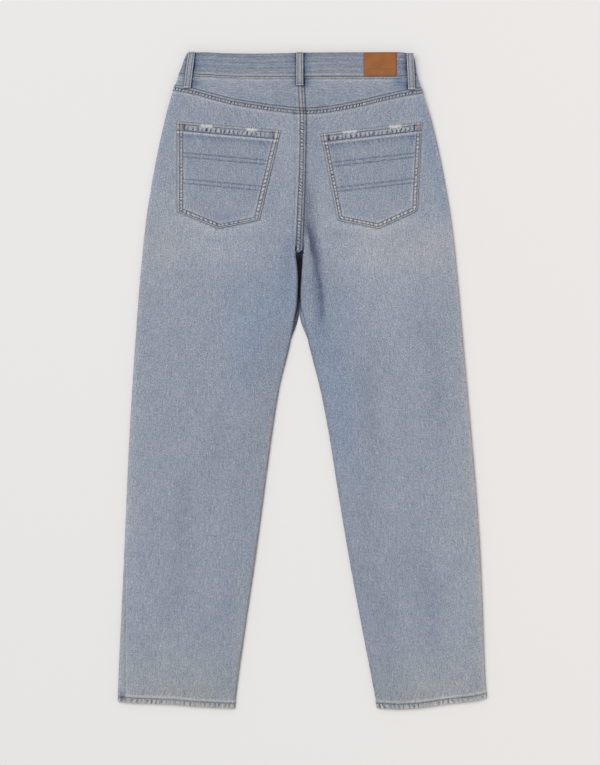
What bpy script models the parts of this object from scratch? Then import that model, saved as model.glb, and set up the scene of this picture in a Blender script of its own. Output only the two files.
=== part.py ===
"""Tapered jeans laid flat on a surface with the back uppermost.

The tables below are in millimetres and in the garment's own plan: `across` runs right from the
centre back line and `down` runs from the waistband's top edge to the hems, as the jeans lie.
Heights are above the surface. Meshes are made in metres, with +Y towards the waist, +Z up and
the wearer's left side at -X. The front lies underneath, face down.
"""

from bisect import bisect_right
from collections import namedtuple
from math import atan2, cos, hypot, pi, sin, sqrt

import bmesh
import bpy

MM = 0.001

# Cloth and seams
CLOTH = 1.3
GAP = 0.3
HEM_CLOTH = 2.6
HEM_DEPTH = 10.0
HEM_PROUD = 0.3
SEAM_PROUD = 1.1
SEAM_SLOPE = 2.0
YOKE_BAND = 9.5
CENTRE_BAND = 11.5

# Waistband
BAND_CLOTH = 3.0
BAND_PROUD = 0.6
BAND_DEPTH = 39.0
BAND_EDGE_ROUND = 0.8
FRONT_DIP = 20.0
LAP_LEFT = 20.0
LAP_RIGHT = -4.0
LAP_NOTCH = 4.0

# Front opening and front pockets
FLY_EDGE = 5.0
FLY_INNER = -14.0
FLY_END = 198.0
ZIP_WIDTH = 26.0
ZIP_CLOTH = 1.1
ZIP_TOP = 62.0
ZIP_BOTTOM = 178.0
BUTTON_RADIUS = 8.5
BUTTON_HEIGHT = 2.6
SCOOP_START = 98.0
SCOOP_DEPTH = 70.0
FACING_LAP = 16.0

# Where the outline's middle is, so that the origin is under the middle of the whole
MIDDLE_ACROSS = 2.3
MIDDLE_DOWN = 510.5

Outline = namedtuple("Outline", "down left_outer left_inner right_inner right_outer")
OUTLINE = [
    Outline(0, -176.0, 6.0, 6.3, 175.0),
    Outline(12, -181.2, 6.0, 6.3, 177.3),
    Outline(25, -185.0, 6.0, 6.3, 179.0),
    Outline(37, -189.5, 6.0, 6.3, 180.9),
    Outline(74, -202.5, 7.2, 7.5, 192.7),
    Outline(110, -212.0, 9.0, 9.3, 204.0),
    Outline(152, -221.5, 8.5, 8.8, 214.2),
    Outline(198, -230.2, 7.4, 7.7, 223.3),
    Outline(250, -238.6, 5.6, 5.9, 232.2),
    Outline(288, -243.2, 4.0, 4.3, 237.2),
    Outline(304, -244.8, 3.3, 3.6, 239.0),
    Outline(312, -245.6, -8.0, 3.1, 239.8),
    Outline(324, -246.8, -6.5, 2.7, 241.0),
    Outline(340, -248.4, -4.9, 1.6, 242.6),
    Outline(356, -249.9, -4.4, 0.5, 244.1),
    Outline(376, -251.5, -5.0, -0.3, 246.0),
    Outline(391, -252.6, -5.8, 0.1, 247.2),
    Outline(410, -254.0, -9.2, 4.0, 248.8),
    Outline(428, -255.2, -12.0, 7.2, 250.3),
    Outline(465, -258.0, -20.2, 16.3, 253.6),
    Outline(521, -261.6, -34.0, 30.7, 258.5),
    Outline(595, -266.0, -45.7, 45.0, 265.0),
    Outline(688, -270.3, -58.1, 59.7, 272.9),
    Outline(781, -274.2, -70.5, 75.2, 279.0),
    Outline(874, -278.6, -82.8, 92.2, 282.9),
    Outline(967, -283.0, -96.0, 110.0, 286.3),
    Outline(1022, -285.0, -103.0, 120.5, 290.4),
]

# How far the under layer is lifted, by the belt loops and button beneath it, and the top height
Level = namedtuple("Level", "down lift top")
LEVELS = [
    Level(0, 3.6, 9.8),
    Level(40, 3.6, 9.8),
    Level(62, 3.4, 9.6),
    Level(90, 2.0, 8.4),
    Level(120, 0.6, 7.0),
    Level(145, 0.0, 6.5),
    Level(1022, 0.0, 6.5),
]

# The waistband's top and lower edges, and the line where the yoke meets the back legs
WaistEdge = namedtuple("WaistEdge", "across down")
WAIST_TOP = [
    WaistEdge(-190, 1.6),
    WaistEdge(-165, 1.2),
    WaistEdge(-150, 1.0),
    WaistEdge(-118, 2.3),
    WaistEdge(-75, 3.05),
    WaistEdge(-30, 2.4),
    WaistEdge(20, 1.3),
    WaistEdge(100, 0.9),
    WaistEdge(145, 0.7),
    WaistEdge(158, 1.3),
    WaistEdge(165, 2.6),
    WaistEdge(172, 3.6),
    WaistEdge(180, 6.0),
]
WAIST_EDGE = [
    WaistEdge(-190, 36.0),
    WaistEdge(-156, 37.6),
    WaistEdge(-125, 39.4),
    WaistEdge(-90, 40.8),
    WaistEdge(0, 41.0),
    WaistEdge(92, 41.2),
    WaistEdge(146, 41.0),
    WaistEdge(190, 38.0),
]

YokeSeam = namedtuple("YokeSeam", "across down")
YOKE_SEAM = [
    YokeSeam(-206, 49.5),
    YokeSeam(-170, 56.0),
    YokeSeam(-132, 66.0),
    YokeSeam(-101, 73.5),
    YokeSeam(-70, 78.5),
    YokeSeam(-39, 83.0),
    YokeSeam(8, 87.0),
    YokeSeam(30, 86.0),
    YokeSeam(61, 81.5),
    YokeSeam(92, 75.5),
    YokeSeam(123, 68.0),
    YokeSeam(154, 61.0),
    YokeSeam(200, 53.0),
]

Hem = namedtuple("Hem", "across down")
HEMS = [
    Hem(-285, 1008.5),
    Hem(-270, 1010.2),
    Hem(-255, 1011.2),
    Hem(-224, 1012.2),
    Hem(-193, 1013.6),
    Hem(-168, 1016.0),
    Hem(-150, 1017.0),
    Hem(-101, 1019.0),
    Hem(120, 1018.8),
    Hem(150, 1020.3),
    Hem(174, 1019.4),
    Hem(226, 1012.6),
    Hem(275, 1006.7),
    Hem(292, 1001.6),
]

# How far the left leg's side seam has turned over the fold on to the back
Twist = namedtuple("Twist", "down shift")
LEFT_SIDE_SEAM = [
    Twist(0, 0.0),
    Twist(740, 0.0),
    Twist(787, 3.5),
    Twist(880, 8.0),
    Twist(989, 13.0),
    Twist(1022, 13.5),
]

# Soft creases in the back, each a trough along a line, deepest at its middle
Crease = namedtuple("Crease", "across down end_across end_down half_width depth")
CREASES = [
    Crease(13, 185, 22, 305, 7.0, 1.2),
    Crease(20, 265, 36, 470, 9.0, 1.7),
    Crease(-26, 265, -17, 385, 9.0, 0.8),
    Crease(-52, 40, -14, 74, 7.0, 0.5),
    Crease(48, 72, 18, 44, 7.0, 0.4),
    Crease(-170, 560, -196, 900, 16.0, 0.7),
    Crease(-110, 470, -150, 760, 14.0, 0.5),
    Crease(90, 430, 128, 700, 15.0, 0.6),
    Crease(205, 380, 222, 640, 15.0, 0.6),
    Crease(180, 720, 214, 960, 16.0, 0.6),
]

Pocket = namedtuple("Pocket", "name corners")
Corner = namedtuple("Corner", "top_outer top_inner bottom_inner point bottom_outer")
POCKETS = [
    Pocket("back_pocket_left", Corner((-191, 109), (-31, 122), (-64, 261), (-128, 274), (-191, 248))),
    Pocket("back_pocket_right", Corner((188, 109), (32, 127), (58, 261), (121, 274), (181, 247))),
]
POCKET_HEM = 13.5
POCKET_TURNING = 9.0
POCKET_PROUD = 0.8

BeltLoop = namedtuple("BeltLoop", "name top_across bottom_across bottom_down")
BACK_LOOPS = [
    BeltLoop("belt_loop_back_centre", -1.5, -1.5, 52.5),
    BeltLoop("belt_loop_back_left", -169.0, -176.0, 56.5),
    BeltLoop("belt_loop_back_right", 169.0, 172.0, 59.0),
]
FRONT_LOOPS = [
    BeltLoop("belt_loop_front_left", -88.0, -90.0, 62.0),
    BeltLoop("belt_loop_front_right", 88.0, 90.0, 62.0),
]
LOOP_WIDTH = 11.0
LOOP_CLOTH = 2.4
LOOP_BOW = 1.5

PATCH_LEFT = 97.5
PATCH_RIGHT = 148.5
PATCH_TOP = 1.4
PATCH_BOTTOM = 38.6
PATCH_CLOTH = 1.2

DENIM = (0.27, 0.33, 0.42, 1.0)
DENIM_DARK = (0.16, 0.20, 0.29, 1.0)
LEATHER = (0.33, 0.13, 0.035, 1.0)
METAL = (0.45, 0.38, 0.28, 1.0)
ZIP_TAPE = (0.18, 0.22, 0.30, 1.0)


def ramp(value, start, end):
    """0 before start, 1 after end, and smooth in between."""
    share = min(1.0, max(0.0, (value - start) / (end - start)))
    return share * share * (3 - 2 * share)


def mix(a, b, share):
    return a + (b - a) * share


def column(rows, name, at, key="down"):
    """A table's column at this place, on a smooth curve that never overshoots its rows."""
    places = [getattr(row, key) for row in rows]
    values = [getattr(row, name) for row in rows]
    if at <= places[0]:
        return values[0]
    if at >= places[-1]:
        return values[-1]
    i = bisect_right(places, at) - 1
    step = places[i + 1] - places[i]
    share = (at - places[i]) / step

    def rise(k):
        return (values[k + 1] - values[k]) / (places[k + 1] - places[k])

    def slope(k):
        if k == 0 or k == len(rows) - 1:
            return rise(min(k, len(rows) - 2))
        before, after = rise(k - 1), rise(k)
        return 0.0 if before * after <= 0 else 2 * before * after / (before + after)

    a, b = slope(i) * step, slope(i + 1) * step
    low, high = values[i], values[i + 1]
    return (
        low * (1 + 2 * share) * (1 - share) ** 2
        + a * share * (1 - share) ** 2
        + high * share**2 * (3 - 2 * share)
        - b * share**2 * (1 - share)
    )


class Side:
    """One side of the jeans: which way is out, and its edges in the plan."""

    def __init__(self, name, sign):
        self.name = name
        self.sign = sign

    def outer(self, down):
        return column(OUTLINE, self.name + "_outer", down)

    def inner(self, down):
        return column(OUTLINE, self.name + "_inner", down)

    def seam_shift(self, down):
        """How far over the fold the side seam lies, along the cloth."""
        return column(LEFT_SIDE_SEAM, "shift", down) if self.sign < 0 else 0.0


LEFT = Side("left", -1)
RIGHT = Side("right", 1)


def lift(down):
    return column(LEVELS, "lift", down)


def top(down):
    return column(LEVELS, "top", down)


def yoke_seam(across):
    return column(YOKE_SEAM, "down", across, "across")


def hem(across):
    return column(HEMS, "down", across, "across")


def waist_edge(across):
    """The waistband's lower edge behind."""
    return column(WAIST_EDGE, "down", across, "across")


def waist_top(across):
    """How far the waistband's top edge behind sags below a straight line."""
    return column(WAIST_TOP, "down", across, "across")


def front_dip(across):
    """How much lower the waist is in front."""
    return FRONT_DIP * max(0.0, 1 - (across / 172) ** 2)


def crease_depth(across, down):
    """How deep the creases are here."""
    depth = 0.0
    for crease in CREASES:
        run = (crease.end_across - crease.across, crease.end_down - crease.down)
        length = hypot(*run)
        from_start = (across - crease.across, down - crease.down)
        share = (from_start[0] * run[0] + from_start[1] * run[1]) / length**2
        aside = abs(from_start[0] * run[1] - from_start[1] * run[0]) / length
        if 0 < share < 1 and aside < 3 * crease.half_width:
            fall = 2.718 ** (-((aside / crease.half_width) ** 2))
            depth += crease.depth * fall * sin(pi * share) ** 2
    return depth


def upper_height(across, down):
    """The back's outer surface away from the side folds, without its raised seams."""
    return top(down) - crease_depth(across, down)


def side_fold(side, down, around):
    """A point on the outer surface near the side fold, as (across, height).

    `around` is the way along the cloth from the outermost point: positive over the back and
    negative under the front.
    """
    low, high = lift(down), top(down)
    radius = (high - low) / 2
    quarter = radius * pi / 2
    way = abs(around)
    if way < quarter:
        inset = radius * (1 - cos(way / radius))
        rise = radius * sin(way / radius)
    else:
        inset = radius + way - quarter
        rise = radius
    across = side.outer(down) - side.sign * inset
    if around < 0:
        return across, low + radius - rise
    crease = crease_depth(across, down) * ramp(way, quarter, quarter + 15)
    return across, low + radius + rise - crease


def fold_quarter(down):
    return (top(down) - lift(down)) / 2 * pi / 2


# Sections of the back, from the side seam to the centre seam or inseam

BACK_FOLD_SHARES = (0.0, 0.25, 0.5, 0.75, 1.0)
BACK_MIDDLE_SHARES = (0.16, 0.33, 0.50, 0.64, 0.76, 0.84, 0.895, 0.935, 0.965)
BACK_INNER_SHARES = (1.0, 0.75, 0.5, 0.25, 0.0)
INNER_FLAT = {1.0: CENTRE_BAND + SEAM_SLOPE, 0.75: CENTRE_BAND, 0.5: 8.0, 0.25: 4.0, 0.0: 0.0}


def crotch_curl(down):
    """0 where the back ends in the flat centre seam, 1 where it folds over at the inseam."""
    return ramp(down, 303, 313)


def leg_open(down):
    """0 where the fronts meet at the centre, 1 where the legs have parted."""
    return ramp(down, 392, 446)


def inseam_height(down):
    """Where the back's edge meets the front at the inseam."""
    radius = (top(down) - lift(down)) / 2
    opened = leg_open(down)
    turn = opened * pi / 2
    return radius * (1 - cos(turn)) + CLOTH * cos(turn) + GAP * (1 + 1.6 * sin(pi * opened))


def back_inner_end(side, down, share):
    """A point near the back's inner edge; share is 0 at the edge itself."""
    curl = crotch_curl(down)
    radius = (top(down) - lift(down)) / 2
    full = curl * pi / 2
    turn = full * (1 - share)
    inset = radius * (sin(full) - sin(turn)) + (1 - curl) * INNER_FLAT[share]
    across = side.inner(down) - side.sign * -1 * inset
    height = upper_height(across, down) - radius * (1 - cos(turn))
    if share == 0.0:
        height = mix(height, inseam_height(down), curl)
    return across, height


def back_station(side, down, index):
    """The index-th point of the back's section here, as (across, height)."""
    start = side.seam_shift(down) + GAP / 2
    quarter = fold_quarter(down)
    folds, middles = len(BACK_FOLD_SHARES), len(BACK_MIDDLE_SHARES)
    if index < folds:
        return side_fold(side, down, start + BACK_FOLD_SHARES[index] * quarter)
    if index >= folds + middles:
        return back_inner_end(side, down, BACK_INNER_SHARES[index - folds - middles])
    first, _ = side_fold(side, down, start + quarter)
    last, _ = back_inner_end(side, down, 1.0)
    across = mix(first, last, BACK_MIDDLE_SHARES[index - folds])
    fade = ramp(abs(side.outer(down) - across), 5, 25)
    return across, top(down) - crease_depth(across, down) * fade


def settle(place, warp, nominal):
    """The point that `place` gives at the distance down that `warp` gives for it."""
    down = nominal
    for _ in range(5):
        across, height = place(down)
        down = warp(across, nominal)
    return across, down, height


def section_walls(points, wall, raised):
    """Outer and inner points of a wall from its section's points, turned out of the section."""
    chords = [atan2(b[2] - a[2], b[0] - a[0]) for a, b in zip(points, points[1:])]
    turns = [
        atan2(after[2] - before[2], after[0] - before[0]) for before, after in zip(points, points[2:])
    ]
    turns = [2 * chords[0] - turns[0], *turns, 2 * chords[-1] - turns[-1]]
    walls = []
    for i, (across, down, height) in enumerate(points):
        out = (-sin(turns[i]), cos(turns[i]))
        outer = (across + out[0] * raised[i], down, height + out[1] * raised[i])
        inner = (across - out[0] * wall, down, height - out[1] * wall)
        walls.append((outer, inner))
    return walls


def flipped(points, side):
    """Sections run left to right, so that their outside is on a known side."""
    return points if side.sign < 0 else points[::-1]


BACK_TOP = 74.0
BACK_HEM = 1014.0
LEG_ROWS = (
    [372, 394, 412, 430, 450, 480, 520, 570, 630, 700, 770, 840, 900, 950, 985]
    + [BACK_HEM - HEM_DEPTH - SEAM_SLOPE, BACK_HEM - HEM_DEPTH, BACK_HEM]
)
BACK_ROWS = (
    [BACK_TOP, BACK_TOP + YOKE_BAND, BACK_TOP + YOKE_BAND + SEAM_SLOPE]
    + [100, 122, 145, 170, 200, 230, 256, 276, 290, 300, 304, 307, 310, 313, 320, 333, 350]
    + LEG_ROWS
)


def back_warp(across, nominal):
    """Rows follow the yoke seam at the top and the hem at the bottom."""
    near_yoke = 1 - ramp(nominal, BACK_TOP + 12, 200)
    near_hem = ramp(nominal, 800, BACK_HEM - HEM_DEPTH - SEAM_SLOPE)
    shift_top = (yoke_seam(across) + GAP / 2 - BACK_TOP) * near_yoke
    shift_hem = (hem(across) - BACK_HEM) * near_hem
    return nominal + shift_top + shift_hem


def centre_band_raise(side, across, down, width):
    """How proud the felled centre seam stands; it lies on the left half, beside the join."""
    if side.sign > 0:
        return 0.0
    inset = side.inner(down) - across
    band = 1 - ramp(inset, width, width + SEAM_SLOPE)
    return SEAM_PROUD * band * (1 - crotch_curl(down))


def yoke_band_raise(across, down):
    """How proud the felled yoke seam stands; it lies on the back, below the join."""
    below = down - yoke_seam(across)
    return SEAM_PROUD * (1 - ramp(below, YOKE_BAND, YOKE_BAND + SEAM_SLOPE)) if below > 0 else 0.0


def back_raise(side, across, down, nominal):
    if nominal >= BACK_HEM - HEM_DEPTH:
        return HEM_PROUD
    centre = centre_band_raise(side, across, down, CENTRE_BAND)
    return max(centre, yoke_band_raise(across, down))


def upper_surface(across, down):
    """The outer surface that the pockets, loops and patch lie on, with its raised seams."""
    side = LEFT if across < LEFT.inner(down) else RIGHT
    edge_gap = abs(side.outer(down) - across)
    radius = (top(down) - lift(down)) / 2
    sunk = radius - sqrt(max(0.0, radius**2 - (radius - edge_gap) ** 2)) if edge_gap < radius else 0.0
    height = upper_height(across, down) - sunk
    if down < waist_edge(across):
        return height + BAND_PROUD
    width = CENTRE_BAND if down > yoke_seam(across) else CENTRE_BAND - 1.5
    return height + max(centre_band_raise(side, across, down, width), yoke_band_raise(across, down))


# Sections of the front, from the side seam round the fold to the centre front or inseam

FRONT_FOLD_SHARES = (0.0, 0.14, 0.28, 0.43, 0.57, 0.72, 0.86, 1.0)
FRONT_MIDDLE_SHARES = (0.3, 0.55, 0.8)
FRONT_INNER_SHARES = (1.0, 0.8, 0.6, 0.4, 0.2, 0.0)
FRONT_INNER_FLAT = {1.0: 44.0, 0.8: 30.0, 0.6: 23.0, 0.4: 18.5, 0.2: 10.0, 0.0: 0.0}
FRONT_TOP = 60.0
FRONT_ROWS = [FRONT_TOP, 72, 88, 106, 126, 150, 176, 198, 214, 232, 270, 300, 340] + LEG_ROWS


def front_join(down):
    """Where the two fronts meet below the fly, which at the crotch is under the parted backs."""
    return mix(0.0, -2.5, ramp(down, 230, 300))


def front_inner(side, down):
    """The front's inner edge: lapped at the fly, butted at the centre, then the inseam."""
    lapped = 1 - ramp(down, 174, FLY_END)
    fly = FLY_EDGE if side.sign < 0 else FLY_INNER
    butted = front_join(down) + side.sign * GAP / 2
    return mix(mix(butted, fly, lapped), side.inner(down), leg_open(down))


def fly_lift(side, across, down):
    """The right front passes over the left one's edge at the fly."""
    if side.sign < 0:
        return 0.0
    return (CLOTH + GAP) * (1 - ramp(down, 200, 226)) * (1 - ramp(across, FLY_EDGE + 3, FLY_EDGE + 12))


def front_inner_end(side, down, share):
    curl = leg_open(down)
    radius = (top(down) - lift(down)) / 2
    full = curl * pi / 2
    turn = full * (1 - share)
    inset = radius * (sin(full) - sin(turn)) + (1 - curl) * FRONT_INNER_FLAT[share]
    across = front_inner(side, down) + side.sign * inset
    return across, lift(down) + radius * (1 - cos(turn)) + fly_lift(side, across, down)


def front_station(side, down, index):
    shift = side.seam_shift(down) - GAP / 2
    quarter = fold_quarter(down)
    folds, middles = len(FRONT_FOLD_SHARES), len(FRONT_MIDDLE_SHARES)
    if index < folds:
        return side_fold(side, down, mix(shift, -quarter, FRONT_FOLD_SHARES[index]))
    if index >= folds + middles:
        return front_inner_end(side, down, FRONT_INNER_SHARES[index - folds - middles])
    first, _ = side_fold(side, down, -quarter)
    last, _ = front_inner_end(side, down, 1.0)
    return mix(first, last, FRONT_MIDDLE_SHARES[index - folds]), lift(down)


def scoop(side, across, down):
    """How far below the waist the front pocket's mouth is cut here."""
    start = SCOOP_START
    share = (abs(across) - start) / (abs(side.outer(down)) - start)
    return SCOOP_DEPTH * min(1.0, max(0.0, share)) ** 0.6


def front_warp(side):
    def warp(across, nominal):
        near_waist = 1 - ramp(nominal, FRONT_TOP, 220)
        near_hem = ramp(nominal, 800, BACK_HEM - HEM_DEPTH - SEAM_SLOPE)
        edge = waist_edge(across) + front_dip(across) + GAP + scoop(side, across, nominal)
        return nominal + (edge - FRONT_TOP) * near_waist + (hem(across) - BACK_HEM) * near_hem

    return warp


# Making solids

MATERIALS = {}


def material(name, colour, roughness, metallic=0.0):
    """A plain material, made once."""
    if name not in MATERIALS:
        made = bpy.data.materials.new(name)
        made.use_nodes = True
        shader = made.node_tree.nodes["Principled BSDF"]
        shader.inputs["Base Color"].default_value = colour
        shader.inputs["Roughness"].default_value = roughness
        shader.inputs["Metallic"].default_value = metallic
        MATERIALS[name] = made
    return MATERIALS[name]


def denim():
    return material("denim", DENIM, 0.9)


def world(point):
    """From the garment's plan in millimetres to metres."""
    across, down, height = point
    return ((across - MIDDLE_ACROSS) * MM, (MIDDLE_DOWN - down) * MM, height * MM)


def link(name, mesh, finish, sharp_angle=0.6):
    mesh.materials.append(finish)
    mesh.shade_smooth()
    mesh.set_sharp_from_angle(angle=sharp_angle)
    made = bpy.data.objects.new(name, mesh)
    bpy.context.scene.collection.objects.link(made)
    return made


def sheet_solid(name, grid, finish):
    """A closed wall from rows of (outer, inner) points: its two faces and its four edges."""
    rows, columns = len(grid), len(grid[0])
    shape = bmesh.new()
    outer = [[shape.verts.new(world(pair[0])) for pair in row] for row in grid]
    inner = [[shape.verts.new(world(pair[1])) for pair in row] for row in grid]
    for i in range(rows - 1):
        for j in range(columns - 1):
            for layer in (outer, inner):
                shape.faces.new((layer[i][j], layer[i][j + 1], layer[i + 1][j + 1], layer[i + 1][j]))
    rim = [(0, j) for j in range(columns)] + [(i, columns - 1) for i in range(1, rows)]
    rim += [(rows - 1, j) for j in range(columns - 2, -1, -1)] + [(i, 0) for i in range(rows - 2, 0, -1)]
    for (a, b), (c, d) in zip(rim, rim[1:] + rim[:1]):
        shape.faces.new((outer[a][b], outer[c][d], inner[c][d], inner[a][b]))
    bmesh.ops.recalc_face_normals(shape, faces=shape.faces)
    mesh = bpy.data.meshes.new(name)
    shape.to_mesh(mesh)
    shape.free()
    return link(name, mesh, finish)


# The pieces


def back_leg(side):
    """A back leg, from the yoke seam to the hem."""
    stations = range(len(BACK_FOLD_SHARES) + len(BACK_MIDDLE_SHARES) + len(BACK_INNER_SHARES))
    grid = []
    for nominal in BACK_ROWS:
        points = [
            settle(lambda down, k=k: back_station(side, down, k), back_warp, nominal) for k in stations
        ]
        points = flipped(points, side)
        raised = [back_raise(side, across, down, nominal) for across, down, _ in points]
        wall = HEM_CLOTH if nominal >= BACK_HEM - HEM_DEPTH else CLOTH
        grid.append(section_walls(points, wall, raised))
    return sheet_solid(f"back_leg_{side.name}", grid, denim())


def front_leg(side):
    """A front leg, which lies underneath, from the waist and pocket mouth to the hem."""
    stations = range(len(FRONT_FOLD_SHARES) + len(FRONT_MIDDLE_SHARES) + len(FRONT_INNER_SHARES))
    warp = front_warp(side)
    grid = []
    for nominal in FRONT_ROWS:
        points = [settle(lambda down, k=k: front_station(side, down, k), warp, nominal) for k in stations]
        points = flipped(points, side)[::-1]
        wall = HEM_CLOTH if nominal >= BACK_HEM - HEM_DEPTH else CLOTH
        grid.append(section_walls(points, wall, [0.0] * len(points)))
    return sheet_solid(f"front_leg_{side.name}", grid, denim())


YOKE_INNER_FLAT = (CENTRE_BAND - 1.5 + SEAM_SLOPE, CENTRE_BAND - 1.5, 5.0, 0.0)
YOKE_MIDDLE_SHARES = (0.14, 0.28, 0.42, 0.56, 0.70, 0.85)
YOKE_ROWS = (0.0, 0.2, 0.45, 0.7, 1.0)


def yoke_station(side, down, index):
    quarter = fold_quarter(down)
    folds, middles = len(BACK_FOLD_SHARES), len(YOKE_MIDDLE_SHARES)
    if index < folds:
        return side_fold(side, down, GAP / 2 + BACK_FOLD_SHARES[index] * quarter)
    if index >= folds + middles:
        across = side.inner(down) + side.sign * YOKE_INNER_FLAT[index - folds - middles]
    else:
        first, _ = side_fold(side, down, GAP / 2 + quarter)
        last = side.inner(down) + side.sign * YOKE_INNER_FLAT[0]
        across = mix(first, last, YOKE_MIDDLE_SHARES[index - folds])
    return across, upper_height(across, down)


def yoke(side):
    """Half of the back yoke, between the waistband and the yoke seam."""
    stations = range(len(BACK_FOLD_SHARES) + len(YOKE_MIDDLE_SHARES) + len(YOKE_INNER_FLAT))

    def warp(across, share):
        return mix(waist_edge(across) + GAP, yoke_seam(across) - GAP / 2, share)

    grid = []
    for share in YOKE_ROWS:
        points = []
        for k in stations:
            down = warp(side.outer(45), share)
            for _ in range(5):
                across, height = yoke_station(side, down, k)
                down = warp(across, share)
            points.append((across, down, height))
        points = flipped(points, side)
        raised = [
            centre_band_raise(side, across, down, CENTRE_BAND - 1.5) for across, down, _ in points
        ]
        grid.append(section_walls(points, CLOTH, raised))
    return sheet_solid(f"yoke_{side.name}", grid, denim())


BAND_ROWS = (0.0, 0.05, 0.35, 0.68, 0.97, 1.0)
BAND_FOLD_STEPS = 7
BAND_BACK_STATIONS = (-150, -118, -85, -52, -22, 0, 22, 52, 85, 118, 150)
BAND_LEFT_FRONT = (LAP_LEFT, 8, -8, -10, -40, -75, -110, -145)
BAND_RIGHT_FRONT = (145, 110, 75, 45, LAP_LEFT + LAP_NOTCH, LAP_LEFT + 2, 8, LAP_RIGHT)


def band_fold(side, down, turn):
    """A point round the waistband's side fold, as (across, height, out); turn is 0 underneath."""
    low, high = lift(0) - BAND_PROUD, top(0) + BAND_PROUD
    radius = (high - low) / 2
    out = (side.sign * sin(turn), -cos(turn))
    return side.outer(down) + side.sign * (sin(turn) - 1) * radius, low + radius * (1 - cos(turn)), out


def band_stations(down):
    """Round the waistband, from its lapped left end under the front to its right end."""
    low, high = lift(0) - BAND_PROUD, top(0) + BAND_PROUD
    half = BAND_CLOTH / 2 - GAP / 2
    turns = [pi * k / (BAND_FOLD_STEPS - 1) for k in range(BAND_FOLD_STEPS)]
    found = []
    for across in BAND_LEFT_FRONT:
        found.append((across, low, (0, -1), BAND_CLOTH if across <= -10 else half))
    for turn in turns:
        found.append((*band_fold(LEFT, down, turn), BAND_CLOTH))
    for across in BAND_BACK_STATIONS:
        found.append((across, high, (0, 1), BAND_CLOTH))
    for turn in reversed(turns):
        found.append((*band_fold(RIGHT, down, turn), BAND_CLOTH))
    for across in BAND_RIGHT_FRONT:
        full = across >= LAP_LEFT + LAP_NOTCH
        height = low if full else low + BAND_CLOTH / 2 + GAP / 2
        found.append((across, height, (0, -1), BAND_CLOTH if full else half))
    return found


def waistband():
    """One strip round the waist, two layers thick, with its ends lapped at the centre front."""
    folded_back = len(BAND_LEFT_FRONT) + BAND_FOLD_STEPS // 2
    grid = []
    for share in BAND_ROWS:
        row = []
        stations = band_stations(share * BAND_DEPTH)
        for k, (across, height, out, wall) in enumerate(stations):
            behind = folded_back <= k < len(stations) - folded_back
            dip = 0.0 if behind else front_dip(across)
            down = dip + mix(waist_top(across), waist_edge(across), share)
            turned = min(BAND_EDGE_ROUND, wall / 3) if share in (0.0, 1.0) else 0.0
            outer = (across - out[0] * turned, down, height - out[1] * turned)
            inset = wall - turned
            inner = (across - out[0] * inset, down, height - out[1] * inset)
            row.append((outer, inner))
        grid.append(row)
    return sheet_solid("waistband", grid, denim())


POCKET_COLUMNS = (0.25, 0.42, 0.6, 0.78)
POCKET_ROWS = (0.28, 0.46, 0.64, 0.80)


def pocket_place(corners, u, v, peak):
    """A point of the pocket's plan: u from its left side to its right, v from mouth to point."""
    left_top, right_top, right_low, point, left_low = corners
    upper = [mix(left_top[i], right_top[i], u) for i in (0, 1)]
    if u <= peak:
        lower = [mix(left_low[i], point[i], u / peak) for i in (0, 1)]
    else:
        lower = [mix(point[i], right_low[i], (u - peak) / (1 - peak)) for i in (0, 1)]
    return mix(upper[0], lower[0], v), mix(upper[1], lower[1], v)


def back_pocket(name, corners):
    """A patch pocket on the back leg, thicker at its hem and at its turned edges."""
    named = [corners.top_outer, corners.top_inner, corners.bottom_inner]
    named += [corners.point, corners.bottom_outer]
    if corners.top_outer[0] > 0:
        named = [named[1], named[0], named[4], named[3], named[2]]
    left_top, right_top, right_low, point, left_low = named
    width = right_top[0] - left_top[0]
    length = point[1] - left_top[1]
    peak = (point[0] - left_low[0]) / (right_low[0] - left_low[0])
    turning, slope = POCKET_TURNING / width, SEAM_SLOPE / width
    columns = [0.0, turning, turning + slope, *POCKET_COLUMNS, 1 - turning - slope, 1 - turning, 1.0]
    columns = sorted([*columns, peak])
    mouth, edge, step = POCKET_HEM / length, POCKET_TURNING / length, SEAM_SLOPE / length
    rows = [0.0, mouth, mouth + step, *POCKET_ROWS, 1 - edge - step, 1 - edge, 1.0]
    grid = []
    for v in rows:
        row = []
        for u in columns:
            across, down = pocket_place(named, u, v, peak)
            side = 1.0 if u <= turning or u >= 1 - turning or v >= 1 - edge else 0.0
            hemmed = 1.0 if v <= mouth else 0.0
            base = upper_surface(across, down) + GAP
            proud = CLOTH + POCKET_PROUD * max(side, hemmed)
            row.append(((across, down, base + proud), (across, down, base)))
        grid.append(row)
    return sheet_solid(name, grid, denim())


LOOP_ROWS = (0.0, 0.05, 0.16, 0.32, 0.5, 0.68, 0.84, 0.95, 1.0)
LOOP_COLUMNS = (-0.5, -0.42, 0.0, 0.42, 0.5)


def back_loop(loop):
    """A belt loop: a doubled strip tacked at both ends and bowed off the waistband between."""
    start = waist_top(loop.top_across) - 0.6
    grid = []
    for share in LOOP_ROWS:
        middle = mix(loop.top_across, loop.bottom_across, share)
        down = mix(start, loop.bottom_down, share)
        places = [middle + LOOP_WIDTH * u for u in LOOP_COLUMNS]
        ground = max(upper_surface(place, max(down + ahead, 0.5)) for place in places for ahead in (-2, 0, 2))
        base = ground + GAP + LOOP_BOW * sin(pi * share) ** 1.5
        end = 0.5 if share in (0.0, 1.0) else 0.0
        row = []
        for u, place in zip(LOOP_COLUMNS, places):
            edge = 0.5 if abs(u) == 0.5 else 0.0
            row.append(((place, down, base + LOOP_CLOTH - max(edge, end)), (place, down, base)))
        grid.append(row)
    return sheet_solid(loop.name, grid, denim())


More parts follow.
